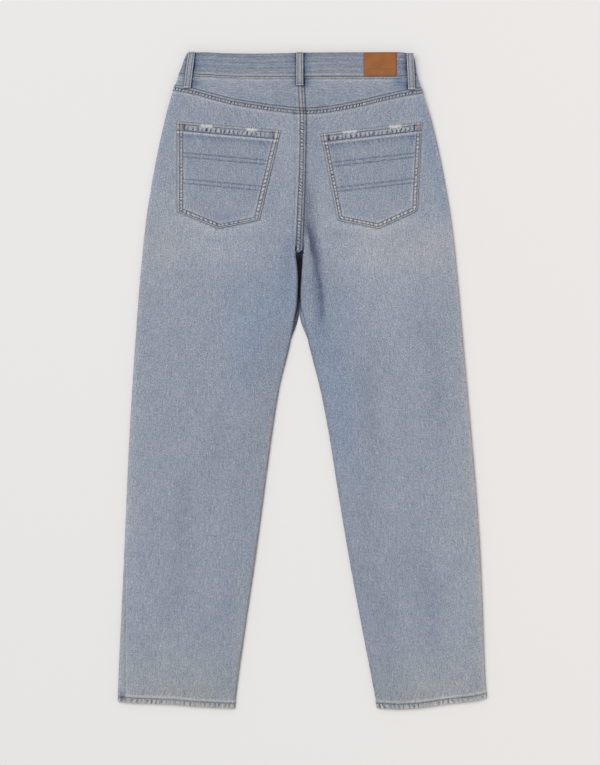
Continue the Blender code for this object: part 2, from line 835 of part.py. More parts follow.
def front_loop(loop):
    """A front belt loop, pressed flat between the waistband and the surface."""
    start = front_dip(loop.top_across) + waist_top(loop.top_across) - 0.6
    grid = []
    for share in (0.0, 0.04, 0.5, 0.96, 1.0):
        middle = mix(loop.top_across, loop.bottom_across, share)
        down = mix(start, loop.bottom_down, share)
        row = []
        for u in LOOP_COLUMNS:
            edge = 0.5 if abs(u) == 0.5 or share in (0.0, 1.0) else 0.0
            across = middle + LOOP_WIDTH * u
            row.append(((across, down, edge), (across, down, LOOP_CLOTH)))
        grid.append(row)
    return sheet_solid(loop.name, grid, denim())


def patch():
    """The leather patch on the waistband, with nothing on it."""
    grid = []
    for v in (0.0, 0.04, 0.35, 0.65, 0.96, 1.0):
        row = []
        for u in (0.0, 0.03, 0.35, 0.65, 0.97, 1.0):
            across = mix(PATCH_LEFT, PATCH_RIGHT, u)
            down = mix(PATCH_TOP, PATCH_BOTTOM, v)
            base = top(0) + BAND_PROUD + GAP
            edge = 0.4 if u in (0.0, 1.0) or v in (0.0, 1.0) else 0.0
            row.append(((across, down, base + PATCH_CLOTH - edge), (across, down, base)))
        grid.append(row)
    return sheet_solid("patch", grid, material("leather", LEATHER, 0.55))


FACING_COLUMNS = (0.0, 0.25, 0.5, 0.75, 1.0)
FACING_ROWS = (0.0, 0.35, 0.7, 1.0)


def pocket_facing(side):
    """The cloth that shows in a front pocket's mouth, just inside the front."""
    depth = CLOTH + GAP

    def place(down, index):
        radius = (top(down) - lift(down)) / 2
        quarter = radius * pi / 2
        if index >= len(FACING_COLUMNS):
            turn = (index - len(FACING_COLUMNS) + 1) / 4 * 0.9
            across, height = side_fold(side, down, -quarter * (1 - turn))
            way = quarter * (1 - turn) / radius
            return across - side.sign * depth * cos(way), height + depth * sin(way)
        last, _ = side_fold(side, down, -quarter)
        across = mix(side.sign * (SCOOP_START - FACING_LAP), last, FACING_COLUMNS[index])
        return across, lift(down) + depth

    def warp(across, share):
        start = waist_edge(across) + front_dip(across) + 4 * GAP
        mouth = SCOOP_DEPTH * min(1.0, max(0.0, (abs(across) - SCOOP_START + FACING_LAP) / 105)) ** 0.6
        return start + share * (mouth + FACING_LAP)

    grid = []
    for share in FACING_ROWS:
        points = []
        for k in range(len(FACING_COLUMNS) + 4):
            down = warp(side.sign * 150, share)
            for _ in range(5):
                across, height = place(down, k)
                down = warp(across, share)
            points.append((across, down, height))
        grid.append(section_walls(flipped(points, side), CLOTH, [0.0] * len(points)))
    return sheet_solid(f"front_pocket_facing_{side.name}", grid, material("denim_dark", DENIM_DARK, 0.9))


def zip_strip():
    """The closed zip on its tape, inside the fly."""
    grid = []
    for share in (0.0, 0.25, 0.5, 0.75, 1.0):
        down = mix(ZIP_TOP, ZIP_BOTTOM, share)
        base = lift(down) + 2 * CLOTH + 2 * GAP
        row = []
        for u in (-0.5, -0.12, -0.1, 0.1, 0.12, 0.5):
            chain = 0.3 if abs(u) <= 0.1 else 0.0
            across = u * ZIP_WIDTH + 1.0
            row.append(((across, down, base + ZIP_CLOTH - 0.3 + chain), (across, down, base)))
        grid.append(row)
    return sheet_solid("zip", grid, material("zip_tape", ZIP_TAPE, 0.8))


def button():
    """The waist button's head, under the lapped front of the waistband."""
    shape = bmesh.new()
    across, down = 8.0, front_dip(0) + BAND_DEPTH / 2
    profile = [(0.0, 0.0), (0.72, 0.0), (0.92, 0.25), (1.0, 0.9), (1.0, 1.9)]
    profile += [(0.8, BUTTON_HEIGHT), (0.0, BUTTON_HEIGHT)]
    sides = 24
    rings = []
    for share, height in profile:
        if share == 0.0:
            rings.append([shape.verts.new(world((across, down, height)))])
            continue
        radius = share * BUTTON_RADIUS
        turns = [2 * pi * k / sides for k in range(sides)]
        rings.append([
            shape.verts.new(world((across + radius * cos(turn), down + radius * sin(turn), height)))
            for turn in turns
        ])
    for lower, upper in zip(rings, rings[1:]):
        for k in range(sides):
            corners = [lower[k % len(lower)], lower[(k + 1) % len(lower)]]
            corners += [upper[(k + 1) % len(upper)], upper[k % len(upper)]]
            shape.faces.new(dict.fromkeys(corners))
    bmesh.ops.recalc_face_normals(shape, faces=shape.faces)
    mesh = bpy.data.meshes.new("button")
    shape.to_mesh(mesh)
    shape.free()
    return link("button", mesh, material("metal", METAL, 0.35, 1.0))


def build():
    for old in list(bpy.data.objects):
        bpy.data.objects.remove(old)
    waistband()
    for side in (LEFT, RIGHT):
        yoke(side)
        back_leg(side)
        front_leg(side)
        pocket_facing(side)
    for pocket in POCKETS:
        back_pocket(*pocket)
    for loop in BACK_LOOPS:
        back_loop(loop)
    for loop in FRONT_LOOPS:
        front_loop(loop)
    patch()
    zip_strip()
    button()


build()
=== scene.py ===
"""The jeans' cloth, sewing, leather, floor, light and camera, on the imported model.

The tables are in millimetres and in the garment's own plan: `across` runs right from the centre
back line and `down` runs from the waistband's top edge to the hems. Tones are brightnesses from
0 to 255 of the finished cloth.
"""

from collections import namedtuple

import bmesh
import bpy
import numpy as np
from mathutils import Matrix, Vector

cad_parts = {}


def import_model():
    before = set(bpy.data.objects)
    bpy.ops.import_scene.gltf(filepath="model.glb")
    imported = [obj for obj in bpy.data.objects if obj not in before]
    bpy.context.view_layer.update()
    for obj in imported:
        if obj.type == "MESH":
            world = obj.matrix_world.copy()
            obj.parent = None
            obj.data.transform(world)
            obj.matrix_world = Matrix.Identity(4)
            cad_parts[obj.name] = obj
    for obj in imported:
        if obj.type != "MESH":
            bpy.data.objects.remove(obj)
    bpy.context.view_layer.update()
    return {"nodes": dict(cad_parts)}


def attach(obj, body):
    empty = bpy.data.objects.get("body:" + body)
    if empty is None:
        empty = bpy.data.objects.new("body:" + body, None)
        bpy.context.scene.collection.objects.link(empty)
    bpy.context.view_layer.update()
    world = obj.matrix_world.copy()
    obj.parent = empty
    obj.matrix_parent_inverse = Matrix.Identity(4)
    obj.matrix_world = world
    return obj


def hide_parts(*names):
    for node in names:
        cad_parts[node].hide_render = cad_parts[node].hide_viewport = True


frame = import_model()
rng = np.random.default_rng(7)


def table(kind, *rows):
    """Rows of values with named columns."""
    return [kind(*row) for row in rows]


# The cut and the lie of the jeans, close to the model's

CLOTH = 1.3
GAP = 0.3
HEM_CLOTH = 2.6
HEM_DEPTH = 10.0
HEM_PROUD = 0.3
SEAM_PROUD = 1.1
SEAM_SLOPE = 2.0
YOKE_BAND = 9.5
CENTRE_BAND = 11.5
BAND_CLOTH = 3.0
BAND_PROUD = 0.6
BAND_DEPTH = 39.0
BAND_POINTS = 471
FRONT_DIP = 20.0
LAP_LEFT = 20.0
LAP_RIGHT = -4.0
LAP_NOTCH = 4.0
FLY_EDGE = 5.0
FLY_INNER = -14.0
FLY_END = 198.0
SCOOP_START = 98.0
SCOOP_DEPTH = 70.0
FACING_LAP = 16.0
MIDDLE_ACROSS = 2.3
MIDDLE_DOWN = 510.5
BACK_TOP = 74.0
BACK_HEM = 1014.0
FRONT_TOP = 60.0

Outline = namedtuple("Outline", "down left_outer left_inner right_inner right_outer")
OUTLINE = table(
    Outline,
    (0, -176, 6, 6.3, 175), (12, -181.2, 6, 6.3, 177.3), (25, -185, 6, 6.3, 179),
    (37, -189.5, 6, 6.3, 180.9), (74, -202.5, 7.2, 7.5, 192.7), (110, -212, 9, 9.3, 204),
    (152, -221.5, 8.5, 8.8, 214.2), (198, -230.2, 7.4, 7.7, 223.3), (250, -238.6, 5.6, 5.9, 232.2),
    (288, -243.2, 4, 4.3, 237.2), (306, -245, 3.2, 3.5, 239.2), (314, -245.8, -8, 3, 240),
    (324, -246.8, -6.5, 2.7, 241), (340, -248.4, -4.9, 1.6, 242.6), (356, -249.9, -4.4, 0.5, 244.1),
    (376, -251.5, -5, -0.3, 246), (391, -252.6, -5.8, 0.1, 247.2), (410, -254, -9.2, 4, 248.8),
    (428, -255.2, -12, 7.2, 250.3), (465, -258, -20.2, 16.3, 253.6), (521, -261.6, -34, 30.7, 258.5),
    (595, -266, -45.7, 45, 265), (688, -270.3, -58.1, 59.7, 272.9), (781, -274.2, -70.5, 75.2, 279),
    (874, -278.6, -84, 92.2, 282.9), (967, -283, -97.2, 110, 286.3), (1022, -285, -104, 120.5, 290.4),
)

Level = namedtuple("Level", "down lift top")
LEVELS = table(
    Level,
    (0, 3.6, 9.8), (40, 3.6, 9.8), (62, 3.4, 9.6), (90, 2, 8.4), (120, 0.6, 7), (145, 0, 6.5),
    (1022, 0, 6.5),
)

Line = namedtuple("Line", "across down")
WAIST_TOP = table(
    Line,
    (-190, 1.6), (-165, 1.2), (-150, 1), (-118, 2.3), (-75, 3.05), (-30, 2.4), (20, 1.3), (100, 0.9),
    (145, 0.7), (158, 1.3), (165, 2.6), (172, 3.6), (180, 6),
)
WAIST_EDGE = table(
    Line,
    (-190, 36), (-156, 37.6), (-125, 39.4), (-90, 40.8), (0, 41), (92, 41.2), (146, 41), (190, 38),
)
YOKE_SEAM = table(
    Line,
    (-206, 49.5), (-170, 56), (-132, 66), (-101, 73.5), (-70, 78.5), (-39, 83), (8, 87), (30, 86),
    (61, 81.5), (92, 75.5), (123, 68), (154, 61), (200, 53),
)
HEMS = table(
    Line,
    (-285, 1008.5), (-270, 1010.2), (-255, 1011.2), (-224, 1012.2), (-193, 1013.6), (-168, 1016),
    (-150, 1017), (-101, 1019), (120, 1018.8), (150, 1020.3), (174, 1019.4), (226, 1012.6),
    (275, 1006.7), (292, 1001.6),
)

Twist = namedtuple("Twist", "down shift")
LEFT_SIDE_SEAM = table(
    Twist,
    (0, 0), (740, 0), (787, 3.5), (880, 8), (989, 13), (1022, 13.5),
)

Crease = namedtuple("Crease", "across down end_across end_down half_width depth")
CREASES = table(
    Crease,
    (13, 185, 22, 305, 7, 1.2), (20, 265, 36, 470, 9, 1.7), (-26, 265, -17, 385, 9, 0.8),
    (-52, 40, -14, 74, 7, 0.5), (48, 72, 18, 44, 7, 0.4), (-170, 560, -196, 900, 16, 0.7),
    (-110, 470, -150, 760, 14, 0.5), (90, 430, 128, 700, 15, 0.6), (205, 380, 222, 640, 15, 0.6),
    (180, 720, 214, 960, 16, 0.6),
)

# Painted shade of a soft fold on the right thigh: where (down), its line (across), how dark, and how far
# the shade reaches before and after the line
Fold = namedtuple("Fold", "down across dark before after")
THIGH_FOLD = table(
    Fold,
    (258, 8.5, 0, 2.5, 9), (276, 12, 38, 2.5, 9), (293, 15.5, 64, 2.5, 9), (304, 16.9, 58, 3.2, 9),
    (315, 20.3, 48, 3.6, 8), (327, 22.8, 31, 3.4, 6), (343, 26, 25, 5, 3.6), (361, 30, 28, 3, 3.4),
    (380, 33, 25, 3.4, 3), (398, 33.8, 18, 4.2, 3), (418, 33.6, 8, 4.5, 4), (436, 33, 0, 4.5, 4),
)

Pocket = namedtuple("Pocket", "name corners")
Corner = namedtuple("Corner", "top_outer top_inner bottom_inner point bottom_outer")
POCKETS = [
    Pocket("back_pocket_left", Corner((-192.2, 108), (-31, 122), (-64, 261), (-128, 274), (-192.2, 248))),
    Pocket("back_pocket_right", Corner((188, 109), (30.8, 127), (56.8, 261), (121, 274), (181, 247))),
]
# How far the two rows of stitches are inside each side after the mouth, and where the tones have them
Rows = namedtuple("Rows", "outer_row inner_row")
POCKET_ROWS = {
    -1: [Rows(2.6, 8.4), Rows(2.4, 5.4), Rows(2.7, 7.0), Rows(4.9, 8.9)],
    1: [Rows(2.4, 7.4), Rows(2.7, 7.4), Rows(2.7, 6.8), Rows(3.7, 7.9)],
}
ROW_AT = Rows(2.9, 7.9)
POCKET_HEM = 13.5
POCKET_TURNING = 9.0
POCKET_PROUD = 0.8

BeltLoop = namedtuple("BeltLoop", "name top_across bottom_across bottom_down")
BACK_LOOPS = table(
    BeltLoop,
    ("belt_loop_back_centre", -1.5, -1.5, 52.5),
    ("belt_loop_back_left", -169, -176, 56.5),
    ("belt_loop_back_right", 169, 172, 59),
)
FRONT_LOOPS = table(
    BeltLoop,
    ("belt_loop_front_left", -88, -90, 62),
    ("belt_loop_front_right", 88, 90, 62),
)
LOOP_WIDTH = 11.0
LOOP_CLOTH = 2.4
LOOP_BOW = 1.5

PATCH_LEFT = 97.5
PATCH_RIGHT = 148.5
PATCH_TOP = 1.4
PATCH_BOTTOM = 38.6
PATCH_CLOTH = 1.2
PATCH_ROW = 1.6

# Looks

# Soft changes of brightness and hue, each a smooth spot. Hue is from -1, bluer, to 1, beiger. The dark
# spots beside the crotch, at its top and round the centre loop at the waist are painted shade
Zone = namedtuple("Zone", "across down half_width half_length tone hue")
ZONES = table(
    Zone,
    (-125, 303, 95, 38, 9, 0.1), (-215, 290, 40, 110, 5, 0.2), (115, 308, 85, 42, 12, 0.2),
    (215, 300, 45, 60, 7, 0.2), (120, 390, 60, 60, 5, 0), (-22, 350, 32, 95, -7, -0.15),
    (28, 330, 26, 95, -7, 0.1), (-70, 430, 60, 120, -4, -0.3), (60, 420, 50, 120, -4, -0.2),
    (-20, 185, 16, 80, 4, 0), (24, 150, 14, 50, -6, 0), (34, 262, 12, 60, 9, 0),
    (-118, 262, 26, 10, -15, -0.3), (-110, 96, 60, 14, -3, 0), (90, 98, 60, 14, -2, 0),
    (-90, 60, 70, 14, 6, 0.05), (95, 60, 60, 14, 4, 0.1), (0, 40, 14, 22, -9, 0),
    (-2, 294, 14, 16, -9, 0), (-175, 860, 70, 60, -3, 0.1), (150, 830, 50, 120, -3, 0),
    (250, 700, 40, 250, 3, 0.2), (-265, 650, 14, 380, 4, 0), (284, 760, 14, 300, 3, 0.4),
    (262, 450, 14, 240, 2, 0.2), (-95, 865, 10, 110, 3, 0.2), (-180, 1030, 160, 90, 2, 0.9),
    (210, 1030, 160, 90, 2, 0.8),
)

# Brightness added along each kind of seam, by the distance from its line. The dark dips at the rows
# of stitches are partly painted shade in the stitch grooves and partly the thread's colour, and the
# dark line at a pocket's edge is painted shadow
Step = namedtuple("Step", "off tone")
YOKE_TONES = table(
    Step,
    (0, -46), (0.8, -26), (1.4, 6), (2.9, 8), (3.6, -38), (4.9, -46), (5.4, 2), (7.4, 10), (8.1, -26),
    (9.1, -42), (9.6, -4), (10.5, 16), (12.2, 20), (13.6, 6), (16, 2), (20, 2), (34, 0),
)
CENTRE_TONES = table(
    Step,
    (0, -60), (1.4, -54), (2, -8), (3, 6), (3.6, -48), (4.8, -52), (5.4, 0), (7.2, 2), (7.9, -8),
    (8.5, -46), (10, -50), (10.6, 4), (11.6, 14), (12.8, 0), (14.8, -7), (18, 0),
)
YOKE_CENTRE_TONES = table(
    Step,
    (0, -30), (0.6, -50), (1.5, -46), (2, 2), (3.2, 6), (4, -22), (5.4, -40), (6.1, 4), (7.2, 24),
    (8.4, 8), (9, -22), (10.2, -40), (10.8, -8), (11.8, 8), (13, 12), (14.6, 0),
)
HEM_TONES = table(
    Step,
    (0, 20), (1.6, 16), (3.4, 12), (5, 6), (6.6, 0), (7.4, -2), (7.9, -32), (8.8, -30), (9.4, -2),
    (10.4, 6), (11.4, 22), (12.6, 18), (13.8, 4), (15, 0), (22, -1), (32, 0),
)
SIDE_TONES = table(
    Step,
    (0, -24), (0.9, -12), (1.8, 12), (3.2, 8), (5, 0),
)
# Paler towards the outer rims: partly the edges' wear, partly painted light where the folded edges turn
# from the lamp
EDGE_TONES = table(
    Step,
    (0, 2), (1.5, 6), (3, 7), (6, 4), (10, 0),
)
WAIST_TONES = table(
    Step,
    (0, -2), (0.7, 4), (1.8, 2), (2.8, 16), (3.8, 24), (4.8, 8), (6, 8), (8, 6), (14, 2), (20, 0),
)
POCKET_TONES = table(
    Step,
    (0, -26), (0.7, 2), (1.2, 16), (1.9, 16), (2.3, -32), (3.4, -38), (3.9, 10), (5.4, 22), (6.9, 10),
    (7.4, -34), (8.4, -38), (8.9, 6), (10, 14), (12, 5), (16, 0),
)
MOUTH_TONES = table(
    Step,
    (0, -24), (0.8, -8), (1.6, 12), (3, 14), (3.6, -34), (4.6, -36), (5.2, 6), (7.5, 8), (9.5, 0),
    (11.4, -6), (12, -52), (13.1, -54), (13.7, 8), (15, 28), (16, 28), (17, 4), (18.2, -22), (21, -12),
    (25, -4), (32, 0),
)
LOOP_TONES = table(
    Step,
    (0, 6), (0.6, 30), (1.7, 26), (2.1, -26), (3, -28), (3.5, 10), (4.6, 22), (5.5, 6),
)

# The dark beside a belt loop: a line of shadow, and the cloth that it kept from fading
Shelter = namedtuple("Shelter", "loop side shadow unfaded")
SHELTERS = table(
    Shelter,
    (0, 1, 74, 54), (0, -1, 44, 28), (1, 1, 66, 48), (1, -1, 22, 22), (2, -1, 50, 56), (2, 1, 60, 22),
)

# Light, floor and camera, in metres and radians, and in millimetres for the lens
SKY_STRENGTH = 0.52
SUN_STRENGTH = 1.68
SUN_ANGLE = 0.9
SUN_FROM = (0.6, -0.45, -1.7)
FLOOR_REACH = 4.0
FLOOR_UNDER = 0.0003
CAMERA_AT = (-0.0035, -0.0023, 3.303)
LENS = 100

# Brightness of each piece's plain cloth
CLOTH_TONE = 150.0
BAND_TONE = 139.0
POCKET_TONE = 146.0
LOOP_TONE = 138.0
FRONT_TONE = 152.0

# How far rows of stitches run from a seam's line or an edge
YOKE_ROWS = (4.3, 8.7)
CENTRE_ROWS = (4.2, 9.3)
YOKE_CENTRE_ROWS = (4.9, 9.8)
HEM_ROW = 8.4
TICK_PITCH = 5.1

STITCH_PITCH = 3.3
STITCH_LENGTH = 2.7
STITCH_WIDTH = 0.75
STITCH_HEIGHT = 0.55


def ramp(value, start, end):
    """0 before start, 1 after end, and smooth in between."""
    share = np.clip((value - start) / (end - start), 0, 1)
    return share * share * (3 - 2 * share)


def mix(a, b, share):
    return a + (b - a) * share


def bump(value, at, half_width):
    """1 at a value, falling smoothly to 0 on both sides."""
    return np.exp(-(((value - at) / half_width) ** 2))


def fall(value, start, end):
    """1 before start, 0 after end, and smooth in between."""
    return 1 - ramp(value, start, end)


def between(value, start, full, fade, end):
    """0 outside start and end, 1 from full to fade, and smooth in between."""
    return ramp(value, start, full) * fall(value, fade, end)


def spot(across, down, wide, long):
    """1 in the middle, falling smoothly to 0 in both ways."""
    return np.exp(-((across / wide) ** 2 + (down / long) ** 2))


def two_rows(off, rows, half_width):
    """1 at each of two rows of stitches, falling smoothly to 0 on both sides."""
    return bump(off, rows[0], half_width) + bump(off, rows[1], half_width)


def smooth(rows, name, key="down"):
    """A table's column as a function, on a smooth curve that never overshoots its rows."""
    x = np.array([getattr(row, key) for row in rows], float)
    y = np.array([getattr(row, name) for row in rows], float)
    rise = np.diff(y) / np.diff(x)
    turning = rise[:-1] * rise[1:] <= 0
    total = np.where(turning, 1.0, rise[:-1] + rise[1:])
    inner = np.where(turning, 0.0, 2 * rise[:-1] * rise[1:] / total)
    slope = np.concatenate([rise[:1], inner, rise[-1:]])

    def at(value):
        value = np.clip(value, x[0], x[-1])
        i = np.clip(np.searchsorted(x, value, side="right") - 1, 0, len(x) - 2)
        step = x[i + 1] - x[i]
        share = (value - x[i]) / step
        return (
            y[i] * (1 + 2 * share) * (1 - share) ** 2
            + slope[i] * step * share * (1 - share) ** 2
            + y[i + 1] * share**2 * (3 - 2 * share)
            - slope[i + 1] * step * share**2 * (1 - share)
        )

    return at


def tones(rows, off):
    """A seam's brightness at this distance from its line, 0 past its last row."""
    return np.interp(off, [row.off for row in rows], [row.tone for row in rows], right=0.0)


lift = smooth(LEVELS, "lift")
top = smooth(LEVELS, "top")
waist_top = smooth(WAIST_TOP, "down", "across")
waist_edge = smooth(WAIST_EDGE, "down", "across")
yoke_seam = smooth(YOKE_SEAM, "down", "across")
hem = smooth(HEMS, "down", "across")
left_shift = smooth(LEFT_SIDE_SEAM, "shift")


class Side:
    """One side of the jeans: which way is out, and its edges in the plan."""

    def __init__(self, name, sign):
        self.name = name
        self.sign = sign
        self.outer = smooth(OUTLINE, name + "_outer")
        self.inner = smooth(OUTLINE, name + "_inner")

    def either(self, left, right):
        return left if self.sign < 0 else right

    def seam_shift(self, down):
        return left_shift(down) if self.sign < 0 else 0.0 * down


LEFT = Side("left", -1)
RIGHT = Side("right", 1)


def front_dip(across):
    return FRONT_DIP * np.maximum(0.0, 1 - (across / 172) ** 2)


def crease_depth(across, down):
    depth = 0.0 * across
    for crease in CREASES:
        run = (crease.end_across - crease.across, crease.end_down - crease.down)
        length = np.hypot(*run)
        aside = (across - crease.across) * run[1] - (down - crease.down) * run[0]
        share = ((across - crease.across) * run[0] + (down - crease.down) * run[1]) / length**2
        near = bump(aside / length, 0, crease.half_width)
        depth += crease.depth * near * np.sin(np.pi * np.clip(share, 0, 1)) ** 2
    return depth


def upper_height(across, down):
    return top(down) - crease_depth(across, down)


def side_fold(side, down, around):
    """A point on the outer surface near the side fold, by the way along the cloth from it."""
    low, high = lift(down), top(down)
    radius = (high - low) / 2
    quarter = radius * np.pi / 2
    way = np.abs(around)
    turn = np.minimum(way / radius, np.pi / 2)
    inset = radius * (1 - np.cos(turn)) + np.maximum(0, way - quarter)
    rise = radius * np.sin(turn)
    across = side.outer(down) - side.sign * inset
    crease = crease_depth(across, down) * ramp(way, quarter, quarter + 15)
    return across, np.where(around < 0, low + radius - rise, low + radius + rise - crease)


def fold_quarter(down):
    return (top(down) - lift(down)) / 2 * np.pi / 2


def crotch_curl(down):
    return ramp(down, 307, 316)


def leg_open(down):
    return ramp(down, 399, 449)


def inseam_height(down):
    radius = (top(down) - lift(down)) / 2
    opened = leg_open(down)
    turn = opened * np.pi / 2
    return radius * (1 - np.cos(turn)) + CLOTH * np.cos(turn) + GAP * (1 + 1.6 * np.sin(np.pi * opened))


def back_inner_end(side, down, share):
    curl = crotch_curl(down)
    radius = (top(down) - lift(down)) / 2
    full = curl * np.pi / 2
    turn = full * (1 - share)
    flat = np.interp(share, (0, 0.25, 0.5, 0.75, 1), (0, 4, 8, CENTRE_BAND, CENTRE_BAND + SEAM_SLOPE))
    inset = radius * (np.sin(full) - np.sin(turn)) + (1 - curl) * flat
    across = side.inner(down) + side.sign * inset
    height = upper_height(across, down) - radius * (1 - np.cos(turn))
    near = fall(share, 0, 0.25)
    return across, mix(height, inseam_height(down), curl * near)


def centre_band_raise(side, across, down, width):
    if side.sign > 0:
        return 0.0 * across
    band = 1 - ramp(side.inner(down) - across, width, width + SEAM_SLOPE)
    return SEAM_PROUD * band * (1 - crotch_curl(down))


def yoke_band_raise(across, down):
    below = down - yoke_seam(across)
    return np.where(below > 0, SEAM_PROUD * fall(below, YOKE_BAND, YOKE_BAND + SEAM_SLOPE), 0)


def upper_surface(across, down):
    """The outer surface that the pockets, loops and patch lie on, with its raised seams."""
    across, down = np.broadcast_arrays(np.asarray(across, float), np.asarray(down, float))
    left = across < LEFT.inner(down)
    edge_gap = np.abs(np.where(left, LEFT.outer(down), RIGHT.outer(down)) - across)
    radius = (top(down) - lift(down)) / 2
    sunk = radius - np.sqrt(np.maximum(0, radius**2 - np.maximum(0, radius - edge_gap) ** 2))
    height = upper_height(across, down) - sunk
    width = np.where(down > yoke_seam(across), CENTRE_BAND, CENTRE_BAND - 1.5)
    centre = np.where(left, centre_band_raise(LEFT, across, down, width), 0)
    seams = np.maximum(centre, yoke_band_raise(across, down))
    return height + np.where(down < waist_edge(across), BAND_PROUD, seams)


def front_join(down):
    return mix(0.0, -2.5, ramp(down, 230, 300))


def front_inner(side, down):
    lapped = fall(down, 174, FLY_END)
    fly = FLY_EDGE if side.sign < 0 else FLY_INNER
    butted = front_join(down) + side.sign * mix(GAP / 2, -0.03, ramp(down, 230, 260))
    return mix(mix(butted, fly, lapped), side.inner(down), leg_open(down))


def front_inner_end(side, down, share):
    curl = leg_open(down)
    radius = (top(down) - lift(down)) / 2
    full = curl * np.pi / 2
    turn = full * (1 - share)
    flat = np.interp(share, (0, 0.2, 0.4, 0.6, 0.8, 1), (0, 10, 18.5, 23, 30, 44))
    inset = radius * (np.sin(full) - np.sin(turn)) + (1 - curl) * flat
    across = front_inner(side, down) + side.sign * inset
    over = 0.0
    if side.sign > 0:
        over = fall(down, 200, 226) * fall(across, FLY_EDGE + 3, FLY_EDGE + 12)
    return across, lift(down) + radius * (1 - np.cos(turn)) + (CLOTH + GAP) * over


def scoop(side, across, down):
    share = (np.abs(across) - SCOOP_START) / (np.abs(side.outer(down)) - SCOOP_START)
    return SCOOP_DEPTH * np.clip(share, 0, 1) ** 0.6


def ripple(along, pitch, seed):
    """An uneven wave from -1 to 1, as where a seam puckers."""
    slow = along / pitch
    phase = 2 * np.pi * slow + 1.2 * np.sin(slow * 1.9 + seed) + 0.8 * np.sin(slow * 3.7 + 2.3 * seed)
    return np.sin(phase) * (0.62 + 0.38 * np.sin(slow * 1.17 + 1.7 * seed))


def zones(across, down):
    """The cloth's soft changes of brightness and hue, a few of them painted shade."""
    tone, hue = 0.0 * across, 0.0 * across
    for zone in ZONES:
        near = spot(across - zone.across, down - zone.down, zone.half_width, zone.half_length)
        tone += zone.tone * near
        hue += zone.hue * near
    return tone, hue


# Building cloth


def world(across, down, height):
    """Plan points as world points, still in millimetres."""
    across, down, height = np.broadcast_arrays(across, down, height)
    return np.stack([across - MIDDLE_ACROSS, MIDDLE_DOWN - down, height], -1)


def unit(vectors):
    return vectors / np.maximum(np.linalg.norm(vectors, axis=-1, keepdims=True), 1e-9)


def face_normals(points, out):
    """Normals of a grid of points, on the side that `out` points to."""
    found = unit(np.cross(np.gradient(points, axis=1), np.gradient(points, axis=0)))
    return found if (found * out).sum() > 0 else -found


def every(count, stride):
    return list(range(0, count - 1, stride)) + [count - 1]


def link(name, mesh, finish):
    mesh.materials.append(finish)
    mesh.shade_smooth()
    made = bpy.data.objects.new(name, mesh)
    bpy.context.scene.collection.objects.link(made)
    return made


class Cloth:
    """A wall of cloth on a grid, fine outside and coarser inside, and closed at its edges."""

    def __init__(
        self, name, points, out, wall, tone, hue, grain, raised=0.0, stride=6,
        inside_tone=None, beats=(0.0, 0.0), inside_hue=None,
    ):
        self.normals = face_normals(points, np.asarray(out, float))
        self.points = points + self.normals * np.broadcast_to(raised, points.shape[:2])[..., None]
        rows, columns = points.shape[:2]
        down_rows, along_columns = every(rows, stride), every(columns, stride)
        pick = np.ix_(down_rows, along_columns)
        inner = points[pick] - self.normals[pick] * np.broadcast_to(wall, points.shape[:2])[pick][..., None]
        outside = np.arange(rows * columns).reshape(rows, columns)
        inside = rows * columns + np.arange(inner.shape[0] * inner.shape[1]).reshape(inner.shape[:2])
        faces = []
        for ids in (outside, inside):
            corners = [ids[:-1, :-1], ids[:-1, 1:], ids[1:, 1:], ids[1:, :-1]]
            faces += np.stack([corner.ravel() for corner in corners], -1).tolist()
        for fine, coarse, stops in (
            (outside[0], inside[0], along_columns),
            (outside[-1], inside[-1], along_columns),
            (outside[:, 0], inside[:, 0], down_rows),
            (outside[:, -1], inside[:, -1], down_rows),
        ):
            for k, (start, end) in enumerate(zip(stops, stops[1:])):
                middle = (start + end) // 2
                faces.append([fine[middle], coarse[k], coarse[k + 1]])
                for i in range(start, end):
                    faces.append([fine[i], fine[i + 1], coarse[k if i < middle else k + 1]])
        mesh = bpy.data.meshes.new(name)
        everywhere = np.concatenate([self.points.reshape(-1, 3), inner.reshape(-1, 3)]) * 0.001
        mesh.from_pydata(everywhere.tolist(), [], [[int(i) for i in face] for face in faces])
        shape = bmesh.new()
        shape.from_mesh(mesh)
        bmesh.ops.recalc_face_normals(shape, faces=shape.faces)
        shape.to_mesh(mesh)
        shape.free()
        inside_tone = tone if inside_tone is None else inside_tone
        inside_hue = hue if inside_hue is None else inside_hue
        spots = [("tone", tone / 255, inside_tone / 255), ("hue", hue, inside_hue)]
        spots += [("beat", beats[0], beats[0]), ("ticked", np.asarray(beats[1]) / 255, 0.0)]
        for key, values, within in spots:
            values, within = (np.broadcast_to(v, (rows, columns)) for v in (values, within))
            whole = np.concatenate([values.ravel(), within[pick].ravel()]).astype(np.float32)
            mesh.attributes.new(key, "FLOAT", "POINT").data.foreach_set("value", whole)
        grain = np.broadcast_to(grain, (rows, columns, 2))
        whole = np.concatenate([grain.reshape(-1, 2), grain[pick].reshape(-1, 2)]) * 0.1
        corner = np.zeros(len(mesh.loops), np.int32)
        mesh.loops.foreach_get("vertex_index", corner)
        layer = mesh.uv_layers.new(name="grain")
        layer.data.foreach_set("uv", whole[corner].astype(np.float32).ravel())
        mesh.set_sharp_from_angle(angle=1.0)
        self.object = link(name, mesh, denim())

    def declare(self, node, flat, area=None, rests_on=()):
        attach(self.object, "root")
        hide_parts(node)


def leg_grain(side, across, down):
    """Across and along the weave: each leg was cut on its own straight line."""
    middle = (side.outer(down) + side.inner(down)) / 2
    straight = (side.outer(300.0) + side.inner(300.0)) / 2
    lean = ramp(down, 250, 420)
    return np.stack([across - mix(straight, middle, lean), down + side.sign * 31.7], -1)


def spread(*parts):
    """Places from (start, end, step) parts, joined."""
    found = []
    for start, end, step in parts:
        found += list(np.linspace(start, end, max(2, round(abs(end - start) / step) + 1))[:-1])
    return np.array(found + [parts[-1][1]])


